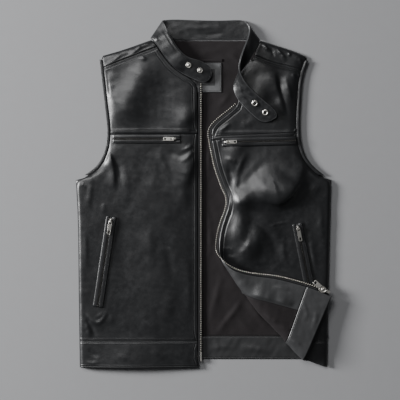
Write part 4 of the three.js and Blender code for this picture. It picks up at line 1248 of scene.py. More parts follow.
@dataclass(frozen=True)
class Cloth:
    """A piece of cloth as a thin shell on its packed wall, with its creases, sewing and edges.

    flat is its cut size and area its cut area, in metres; neither is used. The other sizes are in
    millimetres: lip is the height of the fold beside the zip and lip_reach its distance from the edge; rolled
    is how far the edge drops, over about the width roll; creases fade to the share least at the edge, over
    the width fade. With only_upper they rise where the skin's normal points up more than upward, over the
    span after it.
    """

    node: str
    slot: Slot
    finish: str
    flat: Point
    area: float
    rests_on: tuple[str, ...]
    held: Held = Held.LAID
    thickness: float = 1.0
    levels: int = 3
    finest: float = 3.2
    creases: tuple[Crease, ...] = ()
    waves: Undulation | None = None
    probe: Point | None = None
    seams: tuple[Seam, ...] = ()
    rolled: float = 0.2
    roll: float = 1.8
    lip: float = 0.0
    lip_reach: float = 8.6
    lip_width: float = 1.6
    fade: float = 7.0
    least: float = 0.15
    calm: Callable[[np.ndarray], np.ndarray] | None = None
    only_upper: bool = False
    upward: Point = (0.15, 0.5)

    def folded(self, mesh: bmesh.types.BMesh, edge: np.ndarray, seam: np.ndarray) -> None:
        """Raise the creases and waves on a skin and round its edges.

        Args:
            mesh: The skin, which is changed.
            edge: Each point's distance to the skin's edge.
            seam: Each point's signed distance to its stitch line.
        """
        places, normals = points_of(mesh)
        plan = places[:, :2]
        height = folds(plan, self.creases, self.waves)
        height *= ease(edge / self.fade) * (1.0 - self.least) + self.least
        if self.calm is not None:
            height *= self.calm(plan)
        if self.only_upper:
            height *= ease((normals[:, 2] - self.upward[0]) / self.upward[1])
        height -= self.rolled * np.exp(-((edge / self.roll) ** 2))
        if self.lip:
            beside_zip = np.exp(-(((edge + np.abs(seam) - self.lip_reach) / self.lip_width) ** 2))
            height += self.lip * beside_zip * (1.0 - ease(edge / self.lip_reach))
        set_points(mesh, places + normals * height[:, None])

    def stitch_lines(self, mesh: bmesh.types.BMesh) -> list[Line]:
        """Find the stitch lines on the coarse skin, each with its trim."""
        sides = boundary_sides(mesh) if self.seams else []
        lines = []
        for seam in self.seams:
            guide = Vector(seam.guide) * MM
            side = min(sides, key=lambda points: min((point[0] - guide).length for point in points))
            lines.append(([place + inward * (seam.inset * MM) for place, _, inward in side], seam.trim))
        return lines

    def seam_values(
        self,
        mesh: bmesh.types.BMesh,
        lines: list[Line],
        step: float = 2.0,
        reach: float = 8.0,
        layer: float = 4.0,
    ) -> np.ndarray:
        """Give each point's signed distance to the nearest stitch line, in millimetres.

        Args:
            mesh: The fine skin.
            lines: The stitch lines.
            step: The distance between samples on a line.
            reach: How far from a line's box points are measured.
            layer: The extra distance in space at which a point is on another layer.

        Returns:
            The distances.
        """
        nearest = np.full(len(mesh.verts), SEAM_REACH)
        places = np.array([vert.co for vert in mesh.verts]) / MM
        for line, _ in lines:
            points = np.array(evenly(line, step * MM)) / MM
            near = np.all((places > points.min(0) - reach) & (places < points.max(0) + reach), axis=1)
            if len(points) < 2 or not near.any():
                continue
            flat_distance, side, _ = beside(points[:, :2], places[near][:, :2])
            space = gaps_to(points, places[near])
            distance = np.where(space > flat_distance + layer, SEAM_REACH, flat_distance)
            signed = np.where(side == 0, 1.0, side) * distance
            current = nearest[near]
            nearest[near] = np.where(np.abs(signed) < np.abs(current), signed, current)
        return nearest

    def build(self, materials: Materials, on_it: Sequence[bpy.types.Object] = ()) -> None:
        """Build the piece and its stitches.

        Args:
            materials: The materials.
            on_it: The pieces that lie on it, such as a pocket's; not used.
        """
        coarse = outer_skin(self.node, self.probe)
        lines = self.stitch_lines(coarse)
        mesh = refined(subdivided(coarse, self.levels), self.finest)
        mesh.verts.index_update()
        edge = distance_to(edge_samples(edge for edge in mesh.edges if edge.is_boundary), mesh)
        seam = self.seam_values(mesh, lines)
        self.folded(mesh, edge, seam)
        set_attributes(mesh, edge=edge, seam=seam)
        tree = BVHTree.FromBMesh(mesh)
        piece = finished(mesh, f"{self.node}_cloth", materials[self.finish])
        thickened(piece, self.thickness)
        dressed(piece, self.slot, self.node)
        sewn = stitches(self.node, lines, tree, self.slot, materials["thread"])


@dataclass(frozen=True)
class ClosedCloth:
    """A folded strip of cloth, such as the collar, a binding or a welt, as a closed wall.

    Its creases fade at its sharp edges, over the width fade, and rise where its normal points up more than
    upward, over the span after it. puff is how much it swells.
    """

    node: str
    material: bpy.types.Material
    levels: int = 2
    creases: tuple[Crease, ...] = ()
    waves: Undulation | None = None
    slot: Slot = Slot.LEATHER
    lean: Callable[[np.ndarray], np.ndarray] | None = None
    puff: float = 0.0
    fade: float = 3.0
    upward: Point = (0.05, 0.4)

    def build(self) -> bpy.types.Object:
        """Build the piece."""
        coarse = merged_copy(self.node)
        samples = edge_samples(edge for edge in coarse.edges if is_sharp(edge))
        mesh = subdivided(coarse, self.levels, creased=True)
        edge = distance_to(samples, mesh)
        places, normals = points_of(mesh)
        height = folds(places[:, :2], self.creases, self.waves) + self.puff
        height *= ease(edge / self.fade) * ease((normals[:, 2] - self.upward[0]) / self.upward[1])
        places = places + normals * height[:, None]
        if self.lean is not None:
            places = places + self.lean(places)
        set_points(mesh, places)
        set_attributes(mesh, edge=edge, seam=np.full(len(places), SEAM_REACH))
        piece = finished(mesh, f"{self.node}_cloth", self.material)
        return dressed(piece, self.slot, self.node)


# Strips with two long sides: chains, tapes and bindings


class Strip:
    """The middle line of a long narrow wall, with its directions."""

    def __init__(self, node: str, step: float) -> None:
        """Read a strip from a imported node.

        Args:
            node: The node's name.
            step: The distance between frames, in millimetres.
        """
        mesh = outer_skin(node)
        lines = [[point[:2] for point in side] for side in boundary_sides(mesh)]
        mesh.free()
        lines.sort(key=lambda line: -self.measured(line)[-1])
        places, normals = zip(*lines[0])
        others = [place for place, _ in lines[1]][::-1]
        lengths, other_lengths = lengths_along(places), lengths_along(others)
        count = max(3, int(max(lengths[-1], other_lengths[-1]) / (step * MM)))
        parts = np.linspace(0.0, 1.0, count)
        self.first = read_at(parts * lengths[-1], lengths, places)
        self.second = read_at(parts * other_lengths[-1], other_lengths, others)
        self.normals = read_at(parts * lengths[-1], lengths, normals)

    @staticmethod
    def measured(line: Sequence[tuple[Vector, Vector]]) -> list[float]:
        """Give the length of a side up to each of its points."""
        return lengths_along([place for place, _ in line])

    def frames(self, sideways: float = 0.5, drop: float = 0.0) -> list[Matrix]:
        """Give frames along the strip, X along it, Y across it and Z out of it.

        Args:
            sideways: The place across, from 0 on the first side to 1 on the second.
            drop: How far below the strip's top they are, in millimetres.

        Returns:
            The frames.
        """
        line = [one.lerp(other, sideways) for one, other in zip(self.first, self.second)]
        frames = []
        for place, point in enumerate(line):
            ahead = line[min(place + 1, len(line) - 1)] - line[max(place - 1, 0)]
            normal = self.normals[place].normalized()
            frames.append(basis(ahead, normal, point - normal * (drop * MM)))
        return frames


def tube(
    frames: Sequence[Matrix], radius: float, name: str, material: bpy.types.Material, sides: int = 6
) -> bpy.types.Object:
    """Sweep a round cord along frames.

    Args:
        frames: The frames along it.
        radius: Its radius in millimetres.
        name: The object's name.
        material: Its material.
        sides: The number of its sides.

    Returns:
        The object.
    """
    mesh = bmesh.new()
    ring = [Vector((0.0, math.cos(turn), math.sin(turn))) * (radius * MM) for turn in turns(sides)]
    closed(mesh, [[matrix @ point for point in ring] for matrix in frames])
    bmesh.ops.recalc_face_normals(mesh, faces=mesh.faces)
    return finished(mesh, name, material)


# Metal


@dataclass(frozen=True)
class Teeth:
    """A row of zip teeth on the strip that a packed chain holds.

    Interleaved teeth have the given share of its width and lie in turn on the two sides of its middle.
    soft is the share of the teeth's wall over which their edges are rounded.
    """

    node: str
    pitch: float
    width: float
    wall: float
    depth: float
    interleaved: bool = False
    share: float = 0.62
    soft: float = 0.24

    def build(self, material: bpy.types.Material) -> bpy.types.Object:
        """Build the row.

        Args:
            material: The teeth's metal.

        Returns:
            The joined teeth.
        """
        length = self.width * self.share if self.interleaved else self.width
        shift = (self.width - length) / 2 * MM
        tooth = bmesh.new()
        bmesh.ops.create_cube(tooth, size=1.0)
        size = Matrix.Diagonal((self.wall * MM, length * MM, self.depth * MM, 1.0))
        bmesh.ops.transform(tooth, matrix=size, verts=tooth.verts)
        rounded(tooth, list(tooth.edges), self.wall * self.soft, 1)
        middle = Strip(self.node, self.pitch).frames(0.5, self.depth / 2)
        frames = [
            matrix @ Matrix.Translation((0.0, shift if place % 2 else -shift, 0.0))
            for place, matrix in enumerate(middle)
        ]
        return dressed(scattered(tooth, frames, f"{self.node}_teeth", material), Slot.METAL, self.node)


@dataclass(frozen=True)
class Casting:
    """A small die-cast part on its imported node.

    Its facets are joined where they meet at less than flat, and its edges are rounded over the width edge
    where they are sharper than sharp.
    """

    node: str
    body: str = BODY
    edge: float = 0.35
    segments: int = 2
    flat: float = math.radians(3)
    sharp: float = math.radians(20)

    def build(self, material: bpy.types.Material) -> bpy.types.Object:
        """Build the part.

        Args:
            material: Its metal.

        Returns:
            The part.
        """
        mesh = bmesh.new()
        mesh.from_mesh(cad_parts[self.node].data)
        bmesh.ops.remove_doubles(mesh, verts=mesh.verts, dist=DOUBLES)
        bmesh.ops.dissolve_limit(mesh, angle_limit=self.flat, verts=mesh.verts, edges=mesh.edges)
        outer = [edge for edge in mesh.edges if edge.calc_face_angle(0.0) > self.sharp]
        rounded(mesh, outer, self.edge, self.segments)
        piece = finished(mesh, f"{self.node}_metal", material)
        piece.modifiers.new("corners", "WEIGHTED_NORMAL").keep_sharp = True
        return dressed(piece, Slot.METAL, self.node, body=self.body)


@dataclass(frozen=True)
class Slider:
    """The front zip's slider: two oval plates on a post, and the arch that its pull hangs from.

    crown, foot and post are rings, each a share of the plate's size and a height. arch is the arch's half
    length, its height and its wire's radius, and its feet are sunk into the crown.
    """

    node: str
    length: float = 17.0
    width: float = 13.4
    wall: float = 6.0
    taper: float = 0.2
    around: int = 40
    crown: tuple[Point, ...] = (
        (0.97, -1.7), (1.0, -1.4), (1.0, -0.3), (0.95, 0.1), (0.88, 0.2),
        (0.80, 0.05), (0.72, -0.35), (0.45, -0.28), (0.20, -0.2),
    )
    foot: tuple[Point, ...] = ((0.95, -6.0), (1.0, -5.6), (1.0, -4.6), (0.94, -4.3))
    post: tuple[Point, ...] = ((0.5, -4.6), (0.5, -1.3))
    arch: tuple[float, float, float] = (3.1, 3.1, 0.95)
    arch_steps: int = 12
    arch_sides: int = 10
    arch_breadth: float = 1.15
    arch_sunk: float = 0.3

    def seat(self) -> Matrix:
        """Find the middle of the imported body's top, and the directions along it and out of it."""
        mesh = merged_copy(self.node)
        out = max(mesh.faces, key=lambda face: face.calc_area() * (face.normal.z > 0.0)).normal.copy()
        places = [vert.co.copy() for vert in mesh.verts]
        sides = [face.normal.copy() for face in mesh.faces if abs(face.normal.dot(out)) < UPRIGHT]
        mesh.free()

        def reach(axis: Vector) -> tuple[float, float]:
            """Give how far the body reaches along an axis."""
            values = [place.dot(axis) for place in places]
            return min(values), max(values)

        ahead = max(sides, key=lambda axis: reach(axis)[1] - reach(axis)[0])
        sideways = out.cross(ahead)
        low, high = reach(ahead)
        third = (high - low) / 3
        middle = sum(reach(sideways)) / 2
        front = [abs(place.dot(sideways) - middle) for place in places if place.dot(ahead) > high - third]
        back = [abs(place.dot(sideways) - middle) for place in places if place.dot(ahead) < low + third]
        place = ahead * (low + high) / 2 + sideways * middle + out * (reach(out)[0] + self.wall * MM)
        return basis(ahead if max(front) > max(back) else -ahead, out, place)

    def oval(self, size: float, height: float) -> list[Vector]:
        """Give an oval ring that narrows to the back."""
        ring = []
        for turn in turns(self.around):
            narrow = 1.0 - self.taper * max(0.0, -math.cos(turn))
            along = math.cos(turn) * self.length / 2 * size
            across = math.sin(turn) * self.width / 2 * size * narrow
            ring.append(Vector((along, across, height)) * MM)
        return ring

    def arched(self) -> list[list[Vector]]:
        """Give the arch's rings."""
        half, height, radius = self.arch
        rings = []
        for turn in (*turns(self.arch_steps, math.pi), math.pi):
            middle = Vector((math.cos(turn) * half, 0.0, math.sin(turn) * height - self.arch_sunk)) * MM
            outward = Vector((math.cos(turn) / half, 0.0, math.sin(turn) / height)).normalized()
            beside_it = Vector((0.0, self.arch_breadth, 0.0))
            spots = [outward * math.cos(at) + beside_it * math.sin(at) for at in turns(self.arch_sides)]
            rings.append([middle + spot * (radius * MM) for spot in spots])
        return rings

    def build(self, material: bpy.types.Material) -> bpy.types.Object:
        """Build the slider.

        Args:
            material: Its metal.

        Returns:
            The slider.
        """
        mesh = bmesh.new()
        for rings in (self.crown, self.foot, self.post):
            closed(mesh, [self.oval(size, height) for size, height in rings])
        closed(mesh, self.arched())
        bmesh.ops.recalc_face_normals(mesh, faces=mesh.faces)
        bmesh.ops.transform(mesh, matrix=self.seat(), verts=mesh.verts)
        return dressed(finished(mesh, f"{self.node}_metal", material), Slot.METAL, self.node)


@dataclass(frozen=True)
class Snap:
    """A snap's metal part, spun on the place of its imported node.

    profile holds radii and heights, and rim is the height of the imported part's foot.
    """

    node: str
    profile: tuple[Point, ...]
    steps: int = 32
    rim: float = 0.3

    def seat(self) -> Matrix:
        """Find the part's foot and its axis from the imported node."""
        mesh = merged_copy(self.node)
        places = np.array([vert.co for vert in mesh.verts])
        mesh.free()
        middle = (places.min(axis=0) + places.max(axis=0)) / 2
        spread = np.linalg.svd(places - places.mean(axis=0), full_matrices=False)[2]
        axis = spread[2] if spread[2][2] > 0 else -spread[2]
        heights = (places - middle) @ axis
        ring = places[heights < heights.min() + self.rim * MM]
        foot = (ring.min(axis=0) + ring.max(axis=0)) / 2
        out = Vector(axis)
        return basis(out.orthogonal(), out, Vector(foot))

    def spun(self, profile: Sequence[Point], name: str, material: bpy.types.Material) -> bpy.types.Object:
        """Spin a profile around the part's axis.

        Args:
            profile: Radii and heights in millimetres.
            name: The piece's name.
            material: Its metal.

        Returns:
            The piece.
        """
        mesh = bmesh.new()
        verts = [mesh.verts.new((radius * MM, 0.0, height * MM)) for radius, height in profile]
        edges = [mesh.edges.new(pair) for pair in zip(verts, verts[1:])]
        turn = {"cent": (0.0, 0.0, 0.0), "axis": (0.0, 0.0, 1.0), "angle": 2.0 * math.pi}
        bmesh.ops.spin(mesh, geom=verts + edges, steps=self.steps, use_merge=True, **turn)
        bmesh.ops.remove_doubles(mesh, verts=mesh.verts, dist=0.1 * DOUBLES)
        bmesh.ops.recalc_face_normals(mesh, faces=mesh.faces)
        bmesh.ops.transform(mesh, matrix=self.seat(), verts=mesh.verts)
        return finished(mesh, name, material)

    def build(self, material: bpy.types.Material) -> bpy.types.Object:
        """Build the part.

        Args:
            material: Its metal.

        Returns:
            The part.
        """
        return dressed(self.spun(self.profile, f"{self.node}_metal", material), Slot.METAL, self.node)


STUD_PROFILE = (
    (0.0, 0.0), (5.4, 0.0), (5.6, 0.25), (5.5, 0.7), (5.0, 0.95), (4.2, 0.9), (3.6, 0.7), (2.9, 0.75),
    (2.3, 1.1), (2.1, 1.7), (2.35, 2.5), (2.3, 3.1), (1.8, 3.65), (0.9, 3.9), (0.0, 3.95),
)
SOCKET_PROFILE = (
    (3.0, 0.0), (3.0, 1.0), (3.2, 1.6), (3.8, 2.05), (4.4, 2.15), (5.1, 2.05), (5.8, 1.6), (6.3, 0.9),
    (6.3, 0.2), (6.0, 0.0), (3.0, 0.0),
)
# The socket's centre: a dark disc set in its hole as painted shade
SOCKET_HEART = ((0.0, 1.0), (0.7, 0.95), (1.1, 0.6), (1.4, 0.35), (2.9, 0.35), (2.9, 0.05), (0.0, 0.05))


# The pockets

# A stitch line's height over its welt, and how near to a welt the line has to be, in millimetres
ABOVE = 2.0
NEARBY = 6.0


@dataclass(frozen=True)
class Pocket:
    """A zipped pocket: its front, its line from the slider's end, the slider's place on it and its reach.

    reach is half the pocket's width. lean is how far the welts' lips come over the zip and lift how far they
    rise, from inner inwards. Beside the slider they stay open, as far as clear and its span after it from a
    place that far behind it. sewn_in is the stitches' distance from the welts' outer edge, and quiet the gap
    and span over which creases begin.
    """

    name: str
    front: str
    start: Point
    end: Point
    slider: float
    reach: float
    lean: float = 1.9
    lift: float = 0.35
    inner: float = 3.0
    clear: Point = (8.0, 10.0)
    behind: float = 2.0
    sewn_in: float = 1.5
    quiet: Point = (1.0, 7.0)

    def measured(self, plan: np.ndarray) -> tuple[np.ndarray, np.ndarray]:
        """Measure places along and across the pocket."""
        ahead, across, _ = self.directions()
        return (plan - self.start) @ ahead, (plan - self.start) @ across

    def directions(self) -> tuple[np.ndarray, np.ndarray, float]:
        """Give the line's direction, the direction beside it and its length."""
        run = np.subtract(self.end, self.start)
        length = float(np.linalg.norm(run))
        ahead = run / length
        return ahead, np.array([-ahead[1], ahead[0]]), length

    def calm(self, plan: np.ndarray) -> np.ndarray:
        """Keep creases off the pocket: 0 under its welts and 1 away from them."""
        along, across = self.measured(plan)
        beyond = np.maximum(np.maximum(-along, along - self.directions()[2]), 0.0)
        gap = np.hypot(beyond, np.maximum(np.abs(across) - self.reach, 0.0))
        return ease((gap - self.quiet[0]) / self.quiet[1])

    def closing(self, places: np.ndarray) -> np.ndarray:
        """Lean the welts' lips over the zip, except beside the slider."""
        along, across = self.measured(places[:, :2])
        inner = 1.0 - ease((np.abs(across) - self.inner) / (self.reach - self.inner))
        clear = ease((np.abs(along - self.slider + self.behind) - self.clear[0]) / self.clear[1])
        shift = -np.sign(across) * inner * clear * self.lean
        return np.column_stack([shift[:, None] * self.directions()[1], inner * clear * self.lift])

    def line(self, across: float, level: float, trim: float = 2.0, count: int = 60) -> list[Vector]:
        """Give points beside the pocket's line at a level in metres."""
        ahead, beside_it, length = self.directions()
        places = np.linspace(trim, length - trim, count)
        spots = [self.start + ahead * place + beside_it * across for place in places]
        return [Vector((x * MM, y * MM, level)) for x, y in spots]

    def build(self, materials: Materials) -> list[bpy.types.Object]:
        """Build the pocket's pieces.

        Args:
            materials: The materials.

        Returns:
            The pieces that lie on the front.
        """
        name = f"{self.name}_pocket"
        made = []
        frames = []
        for label in ("upper", "lower"):
            node = f"{name}_welt_{label}"
            welt = ClosedCloth(node, materials["leather"], lean=self.closing, puff=0.15).build()
            made.append(welt)
            tree = search_tree(welt)
            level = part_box(node)[1][2] + ABOVE * MM
            for side in (1.0, -1.0):
                line = self.line(side * (self.reach - self.sewn_in), level)
                if tree.find_nearest(line[len(line) // 2])[3] < NEARBY * MM:
                    frames.extend(NEEDLE.frames(line, tree, 1.0))
        sewn = scattered(NEEDLE.shape(), frames, f"{name}_stitches", materials["thread"])
        made.append(dressed(sewn, Slot.LEATHER))
        made.append(ClosedCloth(f"{name}_tape", materials["tape"], levels=1, slot=Slot.TAPE).build())
        # The pocket teeth take the near-black painted-shade metal, standing in for the slit's shadow
        teeth = Teeth(f"{name}_chain", pitch=1.15, width=2.9, wall=0.8, depth=1.5, interleaved=True)
        made.append(teeth.build(materials["shade_darkened"]))
        made.append(Casting(f"{name}_slider", edge=0.3).build(materials["nickel"]))
        Casting(f"{name}_pull", body=f"{name}_pull", edge=0.3).build(materials["nickel"])
        return made


POCKETS = (
    Pocket("right_chest", "right_front_upper", (-45, 108.5), (-181, 108.5), 14, 8.4),
    Pocket("left_chest", "left_front_upper", (37, 101.5), (185, 105.5), 9, 8.4),
    Pocket("right_hand", "right_front_lower", (-184, -46.5), (-211, -227.5), 9, 10),
    Pocket("left_hand", "left_front_lower", (187, -60.5), (219, -222.5), 9, 10),
)


def away_from_pockets(plan: np.ndarray) -> np.ndarray:
    """Give 0 under the pockets' welts and 1 away from all of them."""
    return math.prod((pocket.calm(plan) for pocket in POCKETS), start=np.ones(len(plan)))


# The fronts and what shows between them


def front(node: str, flat: Point, area: float, **more: Any) -> Cloth:
    """Describe a leather panel of the fronts.

    Args:
        node: Its node.
        flat: Its cut size in metres.
        area: Its cut area in square metres.
        more: Further fields of the cloth.

    Returns:
        The panel.
    """
    lies = {"rests_on": ("back_panel", "back_lining"), "calm": away_from_pockets}
    finish = "yoke" if "yoke" in node else "leather"
    return Cloth(node, Slot.LEATHER, finish, flat, area, thickness=1.4, **lies, **more)


FRONTS = (
    front(
        "right_front_lower", (0.250, 0.415), 0.0975, creases=RIGHT_FRONT_CREASES, waves=Undulation(3),
        seams=(Seam((-10.8, -100, 6), 8.6), Seam((-120, -295, 9), 2.4)),
    ),
    front(
        "right_front_hem_band", (0.242, 0.0545), 0.0130, creases=RIGHT_FRONT_CREASES,
        waves=Undulation(5, 0.16),
        seams=(Seam((-10.8, -322, 6), 8.6), Seam((-120, -295.5, 9), 2.4), Seam((-120, -348, 9), 2.6)),
    ),
    front(
        "right_front_upper", (0.190, 0.174), 0.0262, creases=RIGHT_FRONT_CREASES, waves=Undulation(7),
        seams=(Seam((-10.8, 165, 6), 8.6), Seam((-120, 119.5, 9), 6.4), Seam((-150, 269, 9), 2.0)),
    ),
    front(
        "shoulder_yoke_right", (0.115, 0.062), 0.0031, creases=RIGHT_YOKE_CREASES,
        waves=Undulation(9, 0.16, 50), seams=(Seam((-150, 269.5, 9), 2.0),),
    ),
    front(
        "left_front_lower", (0.255, 0.420), 0.0895, levels=2, creases=LEFT_FRONT_CREASES,
        waves=Undulation(13), only_upper=True, held=Held.FOLDED, lip=2.0,
        seams=(Seam((41, 16, 6), 8.6), Seam((215, -295, 9), 2.4)),
    ),
    front(
        "left_front_hem_band", (0.250, 0.055), 0.0125, levels=2, creases=LEFT_FRONT_CREASES,
        waves=Undulation(15, 0.16), only_upper=True, held=Held.FOLDED, probe=(240, -340),
        seams=(Seam((230, -295.5, 9), 2.4), Seam((230, -348, 9), 2.6)),
    ),
    front(
        "left_front_upper", (0.182, 0.168), 0.0201, creases=LEFT_FRONT_CREASES, waves=Undulation(17), lip=2.0,
        seams=(Seam((22, 130, 6), 8.6), Seam((110, 115.3, 9), 6.4), Seam((150, 255, 9), 2.0)),
    ),
    front(
        "shoulder_yoke_left", (0.110, 0.066), 0.0041, creases=LEFT_YOKE_CREASES,
        waves=Undulation(19, 0.16, 50), seams=(Seam((150, 256, 9), 2.0),),
    ),
)

INSIDE = (
    Cloth(
        "back_lining", Slot.LINING, "twill", (0.250, 0.600), 0.1120, ("back_panel",), levels=2, finest=4.0,
        creases=LINING_CREASES, waves=Undulation(37, 0.26, 70, 12), rolled=0.0,
        seams=(Seam((40, -286, 2), 1.6),),
    ),
    Cloth(
        "back_hem_facing", Slot.INNER, "inner", (0.243, 0.046), 0.0110, ("back_panel",),
        creases=HEM_FACING_CREASES, waves=Undulation(41, 0.25, 60, 12),
        seams=(Seam((80, -286, 2), 2.4), Seam((80, -331, 2), 3.0)),
    ),
    # The turned-back facings take the paler, painted-lit copy of the facing leather
    Cloth(
        "left_front_hem_facing", Slot.INNER, "turned", (0.158, 0.055), 0.0076, ("left_front_hem_band",),
        Held.FOLDED, creases=TURNED_CREASES, waves=Undulation(43, 0.2, 50, 12), rolled=0.0,
        seams=(Seam((200, -245, 26), 2.6),),
    ),
    Cloth(
        "left_front_facing", Slot.INNER, "turned", (0.052, 0.220), 0.0095, ("left_front_lower",), Held.FOLDED,
        creases=TURNED_CREASES, waves=Undulation(47, 0.2, 50, 12), seams=(Seam((120, -160, 26), 3.0),),
    ),
    Cloth(
        "left_front_lining", Slot.LINING, "twill", (0.110, 0.140), 0.0083, ("left_front_lower",), Held.FOLDED,
        creases=TURNED_CREASES, waves=Undulation(53, 0.2, 50, 12), rolled=0.0,
    ),
    Cloth(
        "neck_label", Slot.INNER, "label", (0.066, 0.059), 0.0038, ("back_lining",), levels=4,
        waves=Undulation(59, 0.12, 40, 10),
        seams=tuple(Seam(side, 2.2, 1.0) for side in ((3, 203, 5), (3, 262, 5), (-30, 232, 5), (36, 232, 5))),
    ),
    Cloth("hanger_loop", Slot.LINING, "twill", (0.010, 0.060), 0.00033, ("back_lining",), rolled=0.3),
)


# The other pieces


@dataclass(frozen=True)
class Binding:
    """The binding of an armhole, with its sewing."""

    side: str
    step: float = 3.0

    def build(self, materials: Materials) -> None:
        """Build the binding."""
        node = f"armhole_binding_{self.side}"
        strip = ClosedCloth(node, materials["leather"], levels=3, waves=Undulation(23, 0.10, 40, 9)).build()
        line = [matrix.translation for matrix in Strip(node, self.step).frames(0.5)]
        sewn = stitches(node, [(line, 3.0)], search_tree(strip), Slot.LEATHER, materials["thread"])


@dataclass(frozen=True)
class Collar:
    """The stand collar with its two tabs, its edge sewing and its four snaps.

    rows holds the neck seam and the top edge of cross-sections along the strip, in millimetres.
    """

    flat: tuple[float, float] = (0.046, 0.49)
    area: float = 0.0190
    sewn_at: tuple[float, float] = (0.12, 0.88)
    rows: tuple[tuple[float, float, float, float, float, float], ...] = (
        (15.8, 236, 12, 16.4, 242, 13),
        (6, 223.4, 12, 8, 257, 14),
        (-19, 228.4, 11, -15, 267, 17),
        (-47, 243, 11, -39, 277, 19),
        (-73, 267, 11, -60, 304, 18),
        (-99, 304, 8.8, -76.4, 337, 10),
        (-99, 308.6, 1.9, -73, 348.4, 1.9),
        (-53, 308.2, 1.9, -35, 348.4, 1.9),
        (3, 308.2, 1.9, 3, 347, 1.9),
        (49, 308.2, 1.9, 45, 347, 1.9),
        (112, 308.6, 5, 84, 345, 5),
        (104, 287, 10.5, 91.8, 326, 13),
        (85, 258, 11, 80.6, 289, 30),
        (65.6, 230, 11, 70.4, 252, 40),
        (61.6, 202, 12.5, 83.6, 219.4, 33),
        (85, 169, 15, 116, 188, 23),
        (114, 144.4, 15, 142.6, 164.4, 18.5),
        (134, 145.4, 15, 145, 151.4, 16.5),
    )
    snaps: tuple[Snap, ...] = (
        Snap("snap_stud_1", STUD_PROFILE),
        Snap("snap_stud_2", STUD_PROFILE),
        Snap("snap_socket_1", SOCKET_PROFILE),
        Snap("snap_socket_2", SOCKET_PROFILE),
    )

    def sewing_line(self, across: float, side: float) -> list[Vector]:
        """Give a line along the strip, a little off its surface.

        Args:
            across: The part of the way from the neck seam to the top edge.
            side: How far above the strip's middle the line is, in millimetres.

        Returns:
            The line's points.
        """
        shift = Vector((0.0, -0.5, side))
        points = [(Vector(row[:3]).lerp(Vector(row[3:]), across) + shift) * MM for row in self.rows]
        plan, rise = (smooth_path([point[axis : axis + 2] for point in points], 8) for axis in (0, 1))
        return [Vector((x, y, z)) for (x, y), (_, z) in zip(plan, rise)]

    def build(self, materials: Materials) -> None:
        """Build the collar, its sewing and its snaps."""
        folded = {"creases": COLLAR_CREASES, "waves": Undulation(31, 0.14, 60, 12)}
        strip = ClosedCloth("collar", materials["collar"], levels=3, **folded).build()
        lines = [(self.sewing_line(across, side), 4.0) for across in self.sewn_at for side in (2.5, -2.5)]
        sewn = stitches("collar", lines, search_tree(strip), Slot.LEATHER, materials["thread"])
        metal = [snap.build(materials["nickel"]) for snap in self.snaps]
        for snap in self.snaps:
            if snap.profile is SOCKET_PROFILE:
                # Each socket gets a dark disc in its hole, painted shade standing in for the hole's shadow
                heart = snap.spun(SOCKET_HEART, f"{snap.node}_heart", materials["shade_black"])
                metal.append(dressed(heart, Slot.METAL))


@dataclass(frozen=True)
class Back:
    """The back panel, whose leather side lies on the floor. Its sizes are in millimetres."""

    cells: float = 8.0
    wall: float = 0.8
    most: float = 0.9
    rolled: float = 0.5
    roll: float = 2.0
    fade: float = 12.0
    sewn_in: float = 5.0

    def build(self, materials: Materials) -> None:
        """Build the panel from its outline, cut into an even net."""
        mesh = merged_copy("back_panel")
        upper = [face for face in mesh.faces if face.normal.z >= -0.9]
        bmesh.ops.delete(mesh, geom=upper, context="FACES")
        bmesh.ops.dissolve_faces(mesh, faces=mesh.faces)
        low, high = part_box("back_panel")
        for axis, normal in enumerate((Vector((1.0, 0.0, 0.0)), Vector((0.0, 1.0, 0.0)))):
            for step in range(1, int((high[axis] - low[axis]) / (self.cells * MM)) + 1):
                place = normal * (low[axis] + step * self.cells * MM)
                geometry = [*mesh.verts, *mesh.edges, *mesh.faces]
                bmesh.ops.bisect_plane(mesh, geom=geometry, dist=1e-7, plane_co=place, plane_no=normal)
        mesh.normal_update()
        edge = distance_to(edge_samples(edge for edge in mesh.edges if edge.is_boundary), mesh)
        places, _ = points_of(mesh)
        plan = places[:, :2]
        height = np.abs(Undulation(61, 0.12, 90, 24).height(plan)) + folds(plan, BACK_CREASES)
        rim = self.rolled * np.exp(-((edge / self.roll) ** 2))
        places[:, 2] += np.minimum(height * ease(edge / self.fade), self.most) + rim
        set_points(mesh, places)
        set_attributes(mesh, edge=edge, seam=edge - self.sewn_in)
        piece = finished(mesh, "back_panel_cloth", materials["leather"])
        thickened(piece, self.wall)
        dressed(piece, Slot.LEATHER, "back_panel")


@dataclass(frozen=True)
class MainZip:
    """The open front zip: two tapes with their teeth, the pin, the slider with its pull, and the box."""

    pitch: float = 4.3
    width: float = 3.6
    wall: float = 2.0
    depth: float = 2.4
    bead: float = 0.75

    def build(self, materials: Materials) -> None:
        """Build the zip."""
        for side in ("right", "left"):
            name = f"main_zip_{side}"
            ClosedCloth(f"{name}_tape", materials["tape"], levels=1, slot=Slot.TAPE).build()
            middle = Strip(f"{name}_chain", 3.0).frames(0.5, self.depth / 2)
            dressed(tube(middle, self.bead, f"{name}_bead", materials["tape"]), Slot.TAPE)
            teeth = Teeth(f"{name}_chain", self.pitch, self.width, self.wall, self.depth)
            teeth.build(materials["teeth"])
        castings = (
            Slider("main_zip_slider"),
            Casting("main_zip_pull", body="main_zip_pull", edge=0.4),
            Casting("main_zip_box", edge=0.7, segments=3),
            Casting("main_zip_pin", edge=0.5),
        )
        for casting in castings:
            casting.build(materials["nickel"])


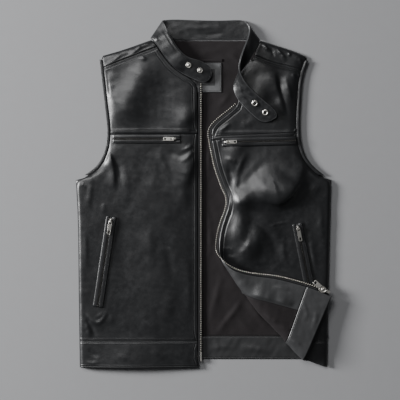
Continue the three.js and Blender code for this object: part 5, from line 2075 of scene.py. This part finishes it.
@dataclass(frozen=True)
class Studio:
    """The pale floor, the soft light from the upper left and the camera straight above."""

    camera_at: tuple[float, float, float] = (-0.007, -0.0135, 2.231)
    lens: float = 100.0
    key_at: tuple[float, float, float] = (-1.60, 2.10, 3.50)
    key_size: float = 2.0
    key_power: float = 112.0
    side_at: tuple[float, float, float] = (-4.20, 0.95, 1.70)
    side_size: float = 1.2
    side_power: float = 620.0
    world: float = 0.11
    sky: Colour = (0.95, 0.98, 1.0)
    floor_reach: float = 4.0
    floor_level: float = -0.3 * MM

    def build(self, materials: Materials) -> None:
        """Build the floor, the lights and the camera.

        Args:
            materials: The materials.
        """
        mesh = bmesh.new()
        bmesh.ops.create_grid(mesh, x_segments=8, y_segments=8, size=self.floor_reach)
        bmesh.ops.translate(mesh, verts=mesh.verts, vec=(0.0, 0.0, self.floor_level))
        finished(mesh, "floor", materials["floor"])
        scene = bpy.context.scene
        world = bpy.data.worlds.new("studio")
        world.use_nodes = True
        background = world.node_tree.nodes["Background"]
        background.inputs["Color"].default_value = (*self.sky, 1.0)
        background.inputs["Strength"].default_value = self.world
        scene.world = world
        self.lamp("key_light", self.key_at, self.key_size, self.key_power)
        self.lamp("side_light", self.side_at, self.side_size, self.side_power)
        view = bpy.data.cameras.new("overhead")
        view.lens = self.lens
        view.sensor_width = 36.0
        view.clip_end = 20.0
        camera = bpy.data.objects.new("overhead", view)
        camera.location = self.camera_at
        scene.collection.objects.link(camera)
        scene.camera = camera

    @staticmethod
    def lamp(name: str, place: tuple[float, float, float], size: float, power: float) -> None:
        """Hang a square soft light that faces the vest.

        Args:
            name: Its name.
            place: Where it hangs.
            size: Its side in metres.
            power: Its power in watts.
        """
        data = bpy.data.lights.new(name, "AREA")
        data.size = size
        data.energy = power
        light = bpy.data.objects.new(name, data)
        light.location = place
        light.rotation_euler = (-Vector(place)).to_track_quat("-Z", "Y").to_euler()
        bpy.context.scene.collection.objects.link(light)


def main() -> None:
    """Build the vest, piece by piece."""
    logging.basicConfig(level=logging.INFO, format="%(message)s")
    materials = {name: finish.material() for name, finish in FINISHES.items()}
    on_fronts = {pocket.front: pocket.build(materials) for pocket in POCKETS}
    for cloth in FRONTS:
        cloth.build(materials, on_fronts.get(cloth.node, ()))
    for piece in (Binding("right"), Binding("left"), Collar(), *INSIDE, Back(), MainZip(), Studio()):
        piece.build(materials)


if __name__ == "__main__":
    main()
